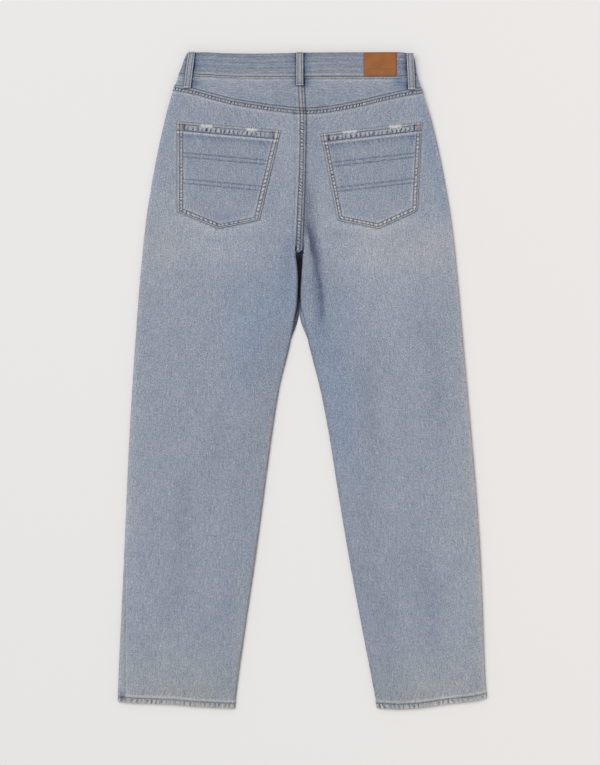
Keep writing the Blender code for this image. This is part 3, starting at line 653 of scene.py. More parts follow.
def settle(place, warp, nominal, columns, start=None):
    """The grid points that `place` gives where rows follow the seams, as `warp` says."""
    wanted = np.repeat(nominal[:, None], columns, 1)
    down = wanted if start is None else start
    for _ in range(6):
        across, height = place(down)
        down = warp(across, wanted)
    return across, down, height


FOLD_STRIP, FLAT_STRIP, INNER_STRIP = 0, 1, 2


def strips(fold, flat, inner):
    """Shares along each strip from the side fold to the inner edge, and which strip each is in."""
    parts = np.linspace(0, 1, fold), np.linspace(0, 1, flat)[1:-1], np.linspace(1, 0, inner)
    kinds = np.repeat((FOLD_STRIP, FLAT_STRIP, INNER_STRIP), [len(part) for part in parts])
    return np.concatenate(parts), kinds


def joined(kind, share, at_fold, at_end, flat):
    """Points at the side fold, along a flat strip from there, and at the inner edge."""
    across = mix(at_fold[0], at_end[0], np.where(kind == FLAT_STRIP, share, 0))
    across = np.where(kind == INNER_STRIP, at_end[0], across)
    height = np.where(kind == FLAT_STRIP, flat(across), at_end[1])
    return across, np.where(kind == FOLD_STRIP, at_fold[1], height)


def near_hem(nominal):
    return ramp(nominal, 800, BACK_HEM - HEM_DEPTH - SEAM_SLOPE)


def hemming(nominal):
    """1 on the doubled hem."""
    return ramp(BACK_HEM - nominal, HEM_DEPTH + 1.2 + SEAM_SLOPE, HEM_DEPTH + 1.2)


def hem_looks(side, across, nominal, seed):
    """A hem's relief, brightness and hue: it ropes below its one row of stitches."""
    up = BACK_HEM - nominal
    wave = ripple(across + 0.55 * up * side.sign, 5.6, seed)
    band = between(up, 0.5, 2, 6.4, 7.8)
    above = between(up, 12, 14, 15, 32)
    relief = 0.3 * wave * band + 0.16 * ripple(across - 0.4 * up, 6.4, seed + 2) * above
    relief -= 0.35 * bump(up, HEM_ROW, 0.8)
    rounded = 0.7 * fall(up, 0, 1.4)
    tone = tones(HEM_TONES, up) + 11 * ripple(across - 0.4 * up, 6.4, seed + 2) * above
    tone -= 5 * side.sign * bump(up, HEM_ROW, 1.0)
    knot = spot(across - side.outer(1010.0) - 7, up - 10, 5, 7)
    tone -= side.either(48, 14) * knot
    hue = 0.95 * fall(up, 10, 14.5)
    return relief - rounded, tone, hue, ((across + 0.3 * up * side.sign) / 7.6, 26 * band)


def row_shift(down):
    """How much further out the centre seam's second row runs below than above."""
    return 0.5 + 0.8 * ramp(down, 180, 225)


def thigh_fold_shade(across, down):
    """Painted shade of a soft fold on the right thigh, sharp on its left and long on its right."""
    places, *columns = zip(*THIGH_FOLD)
    line, deep, before, after = (np.interp(down, places, column) for column in columns)
    off = across - line
    return deep * np.exp(-((off / np.where(off < 0, before, after)) ** 2))


# Where the rows of grid points run down the legs: from, to, and the distance between two rows
BACK_ROWS = (
    (74, 90, 0.62), (90, 110, 1.3), (110, 298, 3.4), (298, 321, 1.1), (321, 985, 3.4),
    (985, 1000, 1.2), (1000, 1014, 0.62),
)
FRONT_ROWS = ((60, 74, 0.9), (74, 230, 3.0), (230, 985, 5.5), (985, 1000, 1.6), (1000, 1014, 0.8))


def back_leg(side):
    rows = spread(*BACK_ROWS)
    share, kind = strips(9, 134, 25)

    def place(down):
        start = side.seam_shift(down) + GAP / 2
        quarter = fold_quarter(down)
        at_fold = side_fold(side, down, start + np.where(kind == FOLD_STRIP, share, 1) * quarter)
        at_end = back_inner_end(side, down, np.where(kind == INNER_STRIP, share, 1))

        def flat(across):
            fade = ramp(np.abs(side.outer(down) - across), 5, 25)
            return top(down) - crease_depth(across, down) * fade

        return joined(kind, share, at_fold, at_end, flat)

    def warp(across, nominal):
        near_yoke = fall(nominal, BACK_TOP + 12, 200)
        shift = (yoke_seam(across) + GAP / 2 - BACK_TOP) * near_yoke
        return nominal + shift + (hem(across) - BACK_HEM) * near_hem(nominal)

    across, down, height = settle(place, warp, rows, len(share))
    nominal = np.repeat(rows[:, None], len(share), 1)
    hemmed = hemming(nominal)
    raised = np.maximum(centre_band_raise(side, across, down, CENTRE_BAND), yoke_band_raise(across, down))
    raised += HEM_PROUD * hemmed
    hem_relief, hem_tone, hem_hue, hem_beats = hem_looks(side, across, nominal, 1.0 + side.sign)
    raised += hem_relief

    tone, hue = zones(across, down)
    tone += CLOTH_TONE + hem_tone
    hue += hem_hue

    below = nominal - BACK_TOP
    puckers = ripple(across + 0.3 * below, 5.4, 3.0 + side.sign)
    puckered = between(below, 4.6, 5.4, 7.2, 8.0)
    beyond = between(below, 12, 15, 18, 36)
    raised += 0.22 * puckers * puckered - 0.3 * two_rows(below, YOKE_ROWS, 0.6)
    beat, ticked = hem_beats
    beat = np.where(below < 12, (across + 0.3 * below) / TICK_PITCH, beat)
    ticked += 46 * between(below, 4.4, 5.2, 7.4, 8.4) * (1 - 0.85 * bump(across, -6, 20))
    tone += tones(YOKE_TONES, below) - 7 * fall(below, 8.8, 10.0)
    # Painted shadow under the back loops' lower ends
    under = loop_ends(across, down)
    tone -= under + 30 * spot(across + 10.5, down - 96.5, 3.6, 3.0)
    tone += 9 * ripple(across + side.sign * 0.8 * below, 8.0, 5.0) * beyond
    hue += 0.68 * between(below, 0.2, 1.5, 9.5, 14)

    seamed = fall(down, 306, 313)
    aside = np.abs(side.inner(down) - across)
    if side.sign < 0:
        shared = aside - row_shift(down) * ramp(aside, 5, 8.5)
        crimps = ripple(down + 0.5 * aside, 5.2, 8.0)
        crimped = between(shared, 4.8, 5.6, 7.8, 8.6) * seamed
        raised += 0.2 * crimps * crimped
        raised -= 0.3 * seamed * two_rows(shared, CENTRE_ROWS, 0.6)
        deep = 30 + 34 * bump(down, 136, 20) + 18 * ramp(down, 235, 265)
        # The rows of stitches are darker lower down, partly painted shade in their grooves
        rows_dark = two_rows(shared, CENTRE_ROWS, 0.8)
        tone += tones(CENTRE_TONES, shared) * seamed - 22 * rows_dark * ramp(down, 215, 265) * seamed
        beat = np.where((below > 12) & (nominal < 320), (down + 0.5 * aside) / TICK_PITCH, beat)
        ticked += deep * crimped * ramp(below, 9, 14)
        hue += 0.64 * ramp(aside, 0.6, 2) * fall(shared, 10, 13.5) * seamed
    else:
        # Painted shade in the trough right of the centre seam, wider and darker down towards the crotch
        reach = mix(4.0, 15.0, ramp(down, 150, 285))
        beside = mix(8, 27, ramp(down, 150, 275)) * fall(down, 276, 294)
        tone -= beside * fall(aside, 0.5, reach) * seamed
        # Painted shade of the fold on the right thigh
        painted_fold_shade = thigh_fold_shade(across, down)
        tone -= painted_fold_shade
        raised -= 0.015 * painted_fold_shade
        hue += 0.1 * fall(aside, 4, 20) * seamed

    # Painted shadow in the crevice where the legs part at the crotch: a dark line along each leg's inner
    # end, and the left back's end darkened below its tongue
    spike = between(down, 295, 305, 311, 315)
    if side.sign < 0:
        tongue = 308.5 + 8.0 * (1 - ((across + 1.5) / 5.8) ** 2)
        tone -= 80 * spike * bump(across, -8.4 + 0.1 * (down - 297), 1.5)
        tone -= 110 * ramp(down - tongue, 0, 1.2) * ramp(across, -7.8, -7.0) * fall(down, 317, 320)
    else:
        tone -= 80 * spike * fall(aside, 0.7, 1.8)
    # Painted shade where the inner edges curl under below the crotch, and in every crease by its depth
    curled = crotch_curl(down) * fall(down, 420, 520)
    tone -= side.either(26, 14) * curled * fall(aside, 0.5, 4.0) + 13 * crease_depth(across, down)
    # Painted shade on the right leg's inner rim, which faces the lamp; both legs are also a little darker
    # within 70 mm of their inner edges there
    low = ramp(down, 400, 450)
    tone -= side.either(0, 5) * fall(aside, 1, 7) * low + 5 * fall(aside, 25, 70) * low
    hue += side.sign * -0.25 * fall(aside, 20, 60) * low * fall(down, 600, 720)
    hue += side.either(0.9, 0.1) * fall(aside, 1, 9) * ramp(down, 430, 620)

    sided = (kind == FOLD_STRIP) | (np.abs(side.outer(down) - across) < 22)
    from_seam = np.abs(side.outer(down) - across) - np.maximum(0, side.seam_shift(down) - 2.6)
    shown = ramp(side.seam_shift(down), 1, 5)
    tone += np.where(sided, shown * tones(SIDE_TONES, from_seam), 0)
    edge = np.abs(side.outer(down) - across)
    tone += tones(EDGE_TONES, edge) * (1 - shown)
    hue += side.either(0.1, 0.55) * fall(edge, 1, side.either(4, 10))
    # Painted light on the right leg's outer rim, where the folded edge turns from the lamp
    tone += side.either(0, 6) * fall(edge, 1, 3.5)
    upper = fall(down, 230, 290) * fall(edge, 4, 28)
    tone -= side.either(0, 7) * upper
    hue -= side.either(0.2, 0.35) * upper
    for pocket in POCKETS:
        if pocket.corners.point[0] * side.sign > 0:
            off = pocket_outside(pocket_ring(pocket.corners), across, down)
            # Painted shadow in a thin line just outside the pocket's edge, and painted light a little
            # further out and below the pocket
            tone -= 3 * bump(off, 0.4, 1.0) - 9 * bump(off, 3.0, 1.5)
            tone += 9 * between(off, 1, 3, 7, 20) * ramp(down, 250, 262)

    wall = mix(CLOTH, HEM_CLOTH, hemmed)
    grain = leg_grain(side, across, down)
    name = "back_leg_" + side.name
    points = world(across, down, height)
    cloth = Cloth(name, points, (0, 0, 1), wall, tone, hue, grain, raised, beats=(beat, ticked))
    cloth.declare(name, (0.30, 0.97), 0.205, ["front_leg_" + side.name])
    cloth.rows, cloth.across, cloth.down = rows, across, down
    return cloth


def front_leg(side):
    rows = spread(*FRONT_ROWS)
    share, kind = strips(10, 70, 31)

    def place(down):
        shift = side.seam_shift(down) - GAP / 2
        quarter = fold_quarter(down)
        at_fold = side_fold(side, down, mix(shift, -quarter, np.where(kind == FOLD_STRIP, share, 1)))
        at_end = front_inner_end(side, down, np.where(kind == INNER_STRIP, share, 1))
        return joined(kind, share, at_fold, at_end, lambda across: lift(down))

    def warp(across, nominal):
        near_waist = fall(nominal, FRONT_TOP, 220)
        edge = waist_edge(across) + front_dip(across) + GAP + scoop(side, across, nominal)
        shift = (edge - FRONT_TOP) * near_waist
        return nominal + shift + (hem(across) - BACK_HEM) * near_hem(nominal)

    across, down, height = settle(place, warp, rows, len(share))
    nominal = np.repeat(rows[:, None], len(share), 1)
    hemmed = hemming(nominal)
    relief, hem_tone, hem_hue, hem_beats = hem_looks(side, across, nominal, 6.0 + side.sign)
    raised = np.minimum(relief, 0.0)
    tone, hue = 0.0 * across + FRONT_TONE + hem_tone, hem_hue
    thigh = np.exp(-(((across - side.sign * 130) / 55) ** 2) - ((down - 300) / 150) ** 2)
    knee = np.exp(-(((across - side.sign * 155) / 50) ** 2) - ((down - 600) / 90) ** 2)
    tone += 14 * thigh + 9 * knee
    for start, slope, deep in ((214, 0.10, 9), (238, 0.24, 6), (258, 0.36, 4), (196, -0.02, 2)):
        line = start + slope * (np.abs(across) - 20)
        whisker = bump(down, line, 4.5) * between(np.abs(across), 14, 40, 70, 130)
        tone += deep * whisker
    mouth = nominal - FRONT_TOP
    scooped = ramp(np.abs(across), SCOOP_START + 2, SCOOP_START + 12)
    tone += scooped * tones(MOUTH_TONES, mouth * 1.25)
    beat, ticked = hem_beats
    beat = np.where(nominal < 200, (np.abs(across) + 0.7 * down) / TICK_PITCH, beat)
    ticked += 24 * scooped * between(mouth, 3, 4, 7, 8)
    aside = np.abs(front_inner(side, down) - across)
    closed = 1 - leg_open(down)
    tone += tones(POCKET_TONES, aside * 1.1) * closed * 0.8
    # Painted shadow in the crotch gap: the front legs' inside and inner edges, seen between the back legs,
    # are painted near black, lighter lower down and to the right like the soft shadow beside the left leg
    crotch_gap_shadow = between(down, 290, 305, 425, 450) * fall(np.abs(across), 14, 20)
    crotch_gap_shadow = crotch_gap_shadow * np.where(kind == INNER_STRIP, 1.0, 0.0)
    crotch_gap_shadow_tone = mix(5.0, 62.0, ramp(down, 374, 398)) + 6 * ramp(down, 393, 410) * np.clip(across + 6, 0, 7)
    if side.sign > 0:
        crotch_gap_shadow = crotch_gap_shadow * fall(down, 394, 408)
    inside_tone = mix(tone - 12, crotch_gap_shadow_tone, crotch_gap_shadow)
    opened = ramp(down, 388, 402)
    tone = np.where((kind == INNER_STRIP) & (share < 0.06), mix(tone, crotch_gap_shadow_tone, crotch_gap_shadow * opened), tone)
    inside_hue = hue + 0.9 * crotch_gap_shadow
    hue += 0.8 * crotch_gap_shadow * opened
    edge = np.abs(side.outer(down) - across)
    tone += tones(EDGE_TONES, edge) * 0.8
    hue += 0.4 * fall(edge, 3, 10)

    wall = mix(CLOTH, HEM_CLOTH, hemmed)
    grain = leg_grain(side, across, down)
    name = "front_leg_" + side.name
    points = world(across, down, height)
    inside = (inside_tone, (beat, ticked), inside_hue)
    cloth = Cloth(name, points, (0, 0, -1), wall, tone, hue, grain, raised, 5, *inside)
    cloth.declare(name, (0.29, 0.965), 0.2)
    cloth.rows, cloth.across, cloth.down = rows, across, down
    return cloth


def pocket_facing(side):
    """The cloth inside a front pocket's mouth, as in the model but finer."""
    depth = CLOTH + GAP
    flat, turned = np.linspace(0, 1, 42), np.linspace(0, 0.9, 9)[1:]
    share = np.concatenate([flat, turned])
    folded = np.arange(len(share)) >= len(flat)
    rows = np.linspace(0, 1, 40)

    def place(down):
        radius = (top(down) - lift(down)) / 2
        quarter = fold_quarter(down)
        at_fold = side_fold(side, down, -quarter * (1 - np.where(folded, share, 0.0)))
        way = quarter * (1 - np.where(folded, share, 0.0)) / radius
        last = side_fold(side, down, -quarter)[0]
        across = mix(side.sign * (SCOOP_START - FACING_LAP), last, np.where(folded, 1.0, share))
        across = np.where(folded, at_fold[0] - side.sign * depth * np.cos(way), across)
        return across, np.where(folded, at_fold[1] + depth * np.sin(way), lift(down) + depth)

    def warp(across, along):
        start = waist_edge(across) + front_dip(across) + 4 * GAP
        mouth = SCOOP_DEPTH * np.clip((np.abs(across) - SCOOP_START + FACING_LAP) / 105, 0, 1) ** 0.6
        return start + along * (mouth + FACING_LAP)

    start = warp(side.sign * 150.0, rows)[:, None] + 0.0 * share
    across, down, height = settle(place, warp, rows, len(share), start)
    tone = FRONT_TONE - 34 + 6 * np.sin(across * 0.11 + down * 0.05)
    grain = np.stack([across, down + 60], -1)
    name = "front_pocket_facing_" + side.name
    points, hue = world(across, down, height), 0 * across - 0.3
    cloth = Cloth(name, points, (0, 0, -1), CLOTH, tone, hue, grain, 0.0, 4)
    cloth.declare(name, (0.125, 0.088), 0.0074, ["back_leg_" + side.name])


def loop_shadow_and_unfaded(across, down):
    """The painted shadow beside the belt loops, and how unfaded the cloth is there."""
    dark, blue = 0.0 * across, 0.0 * across
    for shelter in SHELTERS:
        loop = BACK_LOOPS[shelter.loop]
        middle = mix(loop.top_across, loop.bottom_across, np.clip(down / loop.bottom_down, 0, 1))
        off = (across - middle) * shelter.side - LOOP_WIDTH / 2
        along = fall(down, loop.bottom_down - 3, loop.bottom_down + 5)
        near = along * ramp(off, -1.5, -0.5)
        uneven = 0.8 + 0.3 * np.sin(down * 0.21 + 2.0 * shelter.loop + shelter.side)
        fade = np.exp(-np.maximum(off, 0) / 6.5) * uneven * near
        dark += shelter.shadow * near * np.exp(-((np.maximum(off, 0) / 1.7) ** 2)) + shelter.unfaded * fade
        blue += 1.1 * fade * ramp(off, 0.5, 3) * shelter.unfaded / 46
    # Darker, bluer spots below the waistband, beside the centre and right loops and, fainter, the left one
    for across_at, wide, amount in ((9, 5.5, 30), (152, 8.0, 26), (-162, 5.0, 16)):
        stain = amount * spot(across - across_at, down - 46, wide, 6.5)
        dark, blue = dark + stain, blue + stain / 40
    return dark, blue


def loop_ends(across, down):
    """The thin shadow under each back loop's lower end."""
    dark = 0.0 * across
    for loop in BACK_LOOPS:
        within = fall(np.abs(across - loop.bottom_across), LOOP_WIDTH / 2 - 0.5, LOOP_WIDTH / 2 + 0.5)
        dark += 50 * within * bump(down, loop.bottom_down + 1.1, 0.9)
    return dark


def yoke(side):
    share, kind = strips(8, 120, 22)
    reach = CENTRE_BAND - 1.5 + SEAM_SLOPE
    rows = spread((0, 0.3, 0.016), (0.3, 0.86, 0.035), (0.86, 1, 0.02))

    def place(down):
        quarter = fold_quarter(down)
        at_fold = side_fold(side, down, GAP / 2 + np.where(kind == FOLD_STRIP, share, 1) * quarter)
        end = side.inner(down) + side.sign * reach * np.where(kind == INNER_STRIP, share, 1)
        across = mix(at_fold[0], end, np.where(kind == FLAT_STRIP, share, 0))
        across = np.where(kind == INNER_STRIP, end, across)
        return across, np.where(kind == FOLD_STRIP, at_fold[1], upper_height(across, down))

    def warp(across, along):
        return mix(waist_edge(across) + GAP, yoke_seam(across) - GAP / 2, along)

    start = warp(side.outer(45.0), rows)[:, None] + 0.0 * share
    across, down, height = settle(place, warp, rows, len(share), start)
    raised = centre_band_raise(side, across, down, CENTRE_BAND - 1.5)
    tone, hue = zones(across, down)
    tone += CLOTH_TONE + tones(WAIST_TONES, down - waist_edge(across))
    above = yoke_seam(across) - down
    tone -= 26 * bump(above, 0, 0.7) + 2 * fall(above, 4, 16) - 9 * bump(above, 2.4, 1.4)
    aside = np.abs(side.inner(down) - across)
    if side.sign < 0:
        crimps = ripple(down + 0.5 * aside, 5.2, 8.0)
        crimped = between(aside, 5.4, 6.2, 8.4, 9.2)
        raised += 0.12 * crimps * crimped - 0.3 * two_rows(aside, YOKE_CENTRE_ROWS, 0.6)
        tone += tones(YOKE_CENTRE_TONES, aside)
        hue += 1.0 * between(aside, 1, 3, 10, 13)
    along, beyond = -0.82 * (across + 17) + 0.57 * (down - 59), 0.57 * (across + 17) + 0.82 * (down - 59)
    fan = ripple(beyond + 0.12 * along, 3.9, 2.0) * spot(along, beyond, 12, 6.5)
    raised += 0.3 * fan
    tone += 30 * fan
    beyond_row = between(above, 1, 3, 5, 12) * ramp(np.abs(across), 20, 40)
    tone += 5 * ripple(across + 0.8 * above, 7.0, 4.0) * beyond_row - 16 * spot(across - 32, above, 9, 5)
    streak = 2.2 * np.sin(down * 1.25 + 1.9 * np.sin(across * 0.09))
    streak += 2.0 * np.sin(across * 0.21 + 1.3 * np.sin(down * 0.4))
    tone += streak * ramp(above, 3, 8)
    # Painted shadow beside the loops and under their ends, with the unfaded cloth there
    dark, blue = loop_shadow_and_unfaded(across, down)
    tone -= dark + loop_ends(across, down) - tones(EDGE_TONES, np.abs(side.outer(down) - across)) + 6
    hue -= blue - 0.5 * bump(down - waist_edge(across), 1.0, 2.0)
    grain = np.stack([down + 200, across + side.sign * 13], -1)
    name = "yoke_" + side.name
    cloth = Cloth(name, world(across, down, height), (0, 0, 1), CLOTH, tone, hue, grain, raised)
    cloth.declare(name, (0.206, 0.051), 0.0058, [])


BAND_LEFT_FRONT = (LAP_LEFT, 8, -8, -10, -40, -75, -110, -145)
BAND_BACK = (-150, -118, -85, -52, -22, 0, 22, 52, 85, 118, 150)
BAND_RIGHT_FRONT = (145, 110, 75, 45, LAP_LEFT + LAP_NOTCH, LAP_LEFT + 2, 8, LAP_RIGHT)


def band_path(down):
    """Round the waistband at one depth: (across, height, out, wall, behind) at each point."""
    low, high = lift(0.0) - BAND_PROUD, top(0.0) + BAND_PROUD
    radius = (high - low) / 2
    half = BAND_CLOTH / 2 - GAP / 2
    turns = np.linspace(0, np.pi, 13)
    found = [(x, low, 0, -1, BAND_CLOTH if x <= -10 else half, 0) for x in BAND_LEFT_FRONT]

    def folded(side, turn):
        across = side.outer(down) + side.sign * (np.sin(turn) - 1) * radius
        return across, low + radius * (1 - np.cos(turn)), side.sign * np.sin(turn), -np.cos(turn)

    found += [(*folded(LEFT, turn), BAND_CLOTH, float(turn > np.pi / 2 - 0.1)) for turn in turns]
    found += [(x, high, 0, 1, BAND_CLOTH, 1) for x in BAND_BACK]
    found += [(*folded(RIGHT, turn), BAND_CLOTH, float(turn > np.pi / 2 - 0.1)) for turn in turns[::-1]]
    for x in BAND_RIGHT_FRONT:
        full = x >= LAP_LEFT + LAP_NOTCH
        height, wall = (low, BAND_CLOTH) if full else (low + BAND_CLOTH / 2 + GAP / 2, half)
        found.append((x, height, 0, -1, wall, 0))
    found = np.array(found, float)
    way = np.concatenate([[0], np.cumsum(np.hypot(np.diff(found[:, 0]), np.diff(found[:, 1])))])
    fine = np.linspace(0, way[-1], BAND_POINTS)
    return np.stack([np.interp(fine, way, found[:, k]) for k in range(6)], -1), fine


def waistband():
    shares = spread((0, 0.12, 0.016), (0.12, 0.84, 0.045), (0.84, 1, 0.016))
    made = []
    for share in shares:
        path, way = band_path(share * BAND_DEPTH)
        across, height, wall, behind = path[:, 0], path[:, 1], path[:, 4], path[:, 5]
        out = unit(np.stack([path[:, 2], 0 * across, path[:, 3]], -1))
        dip = np.where(behind > 0.5, 0, front_dip(across))
        down = dip + mix(waist_top(across), waist_edge(across), share)
        up = waist_edge(across) + dip - down
        under = down - dip - waist_top(across)
        turned = 0.7 * fall(up, 0, 1.1) + 0.8 * fall(under, 0, 1.3)
        wave = ripple(way + 0.5 * up, 6.5, 1.0)
        row = 2.4 + 0.4 * ramp(across, -20, 20)
        relief = -0.3 * bump(up, row, 0.7) + 0.12 * wave * between(up, 0.3, 0.8, 1.4, 2.2)
        # Painted shadow beside the loops, with the unfaded cloth there; the row of stitches is darker,
        # partly painted shade in its groove
        dark, blue = loop_shadow_and_unfaded(across, down)
        line = -58 * bump(up, row, 0.65) + 32 * bump(up, 0.7, 0.8) - 14 * bump(under, 0, 1.3)
        line += (22 - 11 * ramp(across, 0, 40)) * bump(up, row + 2.7, 1.5)
        line += 8 * wave * between(up, 0.3, 0.8, 1.4, 2.2)
        streak = 6 * np.sin(down * 0.72 + 1.6 * np.sin(across * 0.027))
        streak += 4.5 * np.sin(down * 1.45 + across * 0.013)
        streak += 3.5 * np.sin(down * 2.3 + 2.2 * np.sin(across * 0.041) + 1.0)
        tone = BAND_TONE + line + streak - dark * behind - 3 * bump(under, 4, 5)
        edged = 0.8 * fall(under, 0, 9) + 0.35 * fall(up, 5, 14) + 0.4 * fall(up, 2, 5)
        hue = -blue * behind + edged + 0.1 + 0.15 * ramp(across, 0, 60)
        grain = np.stack([down + 300, way], -1)
        made.append((world(across, down, height), out, tone, hue, grain, relief - turned))
    points, out, tone, hue, grain, raised = (np.array(part) for part in zip(*made))
    within = BAND_TONE - 6 + 0.0 * raised
    cloth = Cloth("waistband", points, out, wall[None, :] - 0.3, tone, hue, grain, raised, 4, within)
    cloth.declare("waistband", (0.745, 0.041), None, [])
    cloth.shares, cloth.out = shares, out
    return cloth


def inset(corners, amounts):
    """The pocket's outline moved inwards, by its own amount at each side, the mouth first."""
    points = [np.array(corner, float) for corner in corners]
    count = len(points)
    middle = sum(points) / count
    lines = []
    for i in range(count):
        a, b = points[i], points[(i + 1) % count]
        normal = unit(np.array([-(b - a)[1], (b - a)[0]]))
        if np.dot(normal, middle - a) < 0:
            normal = -normal
        lines.append((a + normal * amounts[i], b - a))
    found = []
    for i in range(count):
        (p, r), (q, s) = lines[i - 1], lines[i]
        t = np.cross([*(q - p), 0], [*s, 0])[2] / np.cross([*r, 0], [*s, 0])[2]
        found.append(p + r * t)
    return found


def line_distance(across, down, a, b):
    run = np.array(b, float) - np.array(a, float)
    return np.abs((across - a[0]) * run[1] - (down - a[1]) * run[0]) / np.hypot(*run)


def pocket_edges(corners, across, down):
    """Distances from the mouth and from the nearest other edge."""
    mouth = line_distance(across, down, corners[0], corners[1])
    others = [line_distance(across, down, corners[i], corners[(i + 1) % 5]) for i in (1, 2, 3, 4)]
    return mouth, np.minimum.reduce(others), others


def row_distance(corners, others):
    """Distance inwards with each side's rows brought to the places that the tones expect."""
    found = 1e9
    for rows, off in zip(POCKET_ROWS[-1 if corners[0][0] < 0 else 1], others):
        stops = (0, rows.outer_row, rows.inner_row, rows.inner_row + 6, 400)
        places = (0, ROW_AT.outer_row, ROW_AT.inner_row, ROW_AT.inner_row + 6, 400)
        found = np.minimum(found, np.interp(off, stops, places))
    return found


def pocket_outside(ring, across, down):
    """How far a point is outside a pocket's outline, and less than 0 inside."""
    middle = np.mean(np.array(ring, float), 0)
    found = -1e9 + 0.0 * across
    for i in range(5):
        a, b = np.array(ring[i], float), np.array(ring[(i + 1) % 5], float)
        normal = unit(np.array([-(b - a)[1], (b - a)[0]]))
        normal = normal if np.dot(normal, a - middle) > 0 else -normal
        found = np.maximum(found, (across - a[0]) * normal[0] + (down - a[1]) * normal[1])
    return found


def pocket_proud(mouth, edge):
    turned = fall(edge, POCKET_TURNING, POCKET_TURNING + SEAM_SLOPE)
    hemmed = fall(mouth, POCKET_HEM, POCKET_HEM + SEAM_SLOPE)
    return CLOTH + POCKET_PROUD * np.maximum(turned, hemmed)


def pocket_ring(corners):
    """The corners in order round the pocket, from its mouth's left end."""
    ring = [corners.top_outer, corners.top_inner, corners.bottom_inner, corners.point, corners.bottom_outer]
    if corners.top_outer[0] > 0:
        ring = [ring[1], ring[0], ring[4], ring[3], ring[2]]
    return ring


def pocket_height(corners, across, down):
    mouth, edge, _ = pocket_edges(pocket_ring(corners), across, down)
    return upper_surface(across, down) + GAP + pocket_proud(mouth, edge)


Fray = namedtuple("Fray", "across down slope half_length half_width")
FRAYED = table(
    Fray,
    (-146, 115.6, 0.06, 9.5, 1.9), (-76, 121, 0.08, 8, 1.6), (76, 124.6, -0.12, 10.5, 1.6),
    (147, 115.8, -0.10, 8.5, 1.8),
)
ROWS_ACROSS = (0.34, 0.385, 0.63, 0.675)


def row_across(ring, share):
    """The two ends of a straight row across a pocket, at its left and right sides."""
    points = np.array(ring, float)
    return mix(points[0], points[4], share), mix(points[1], points[2], share)


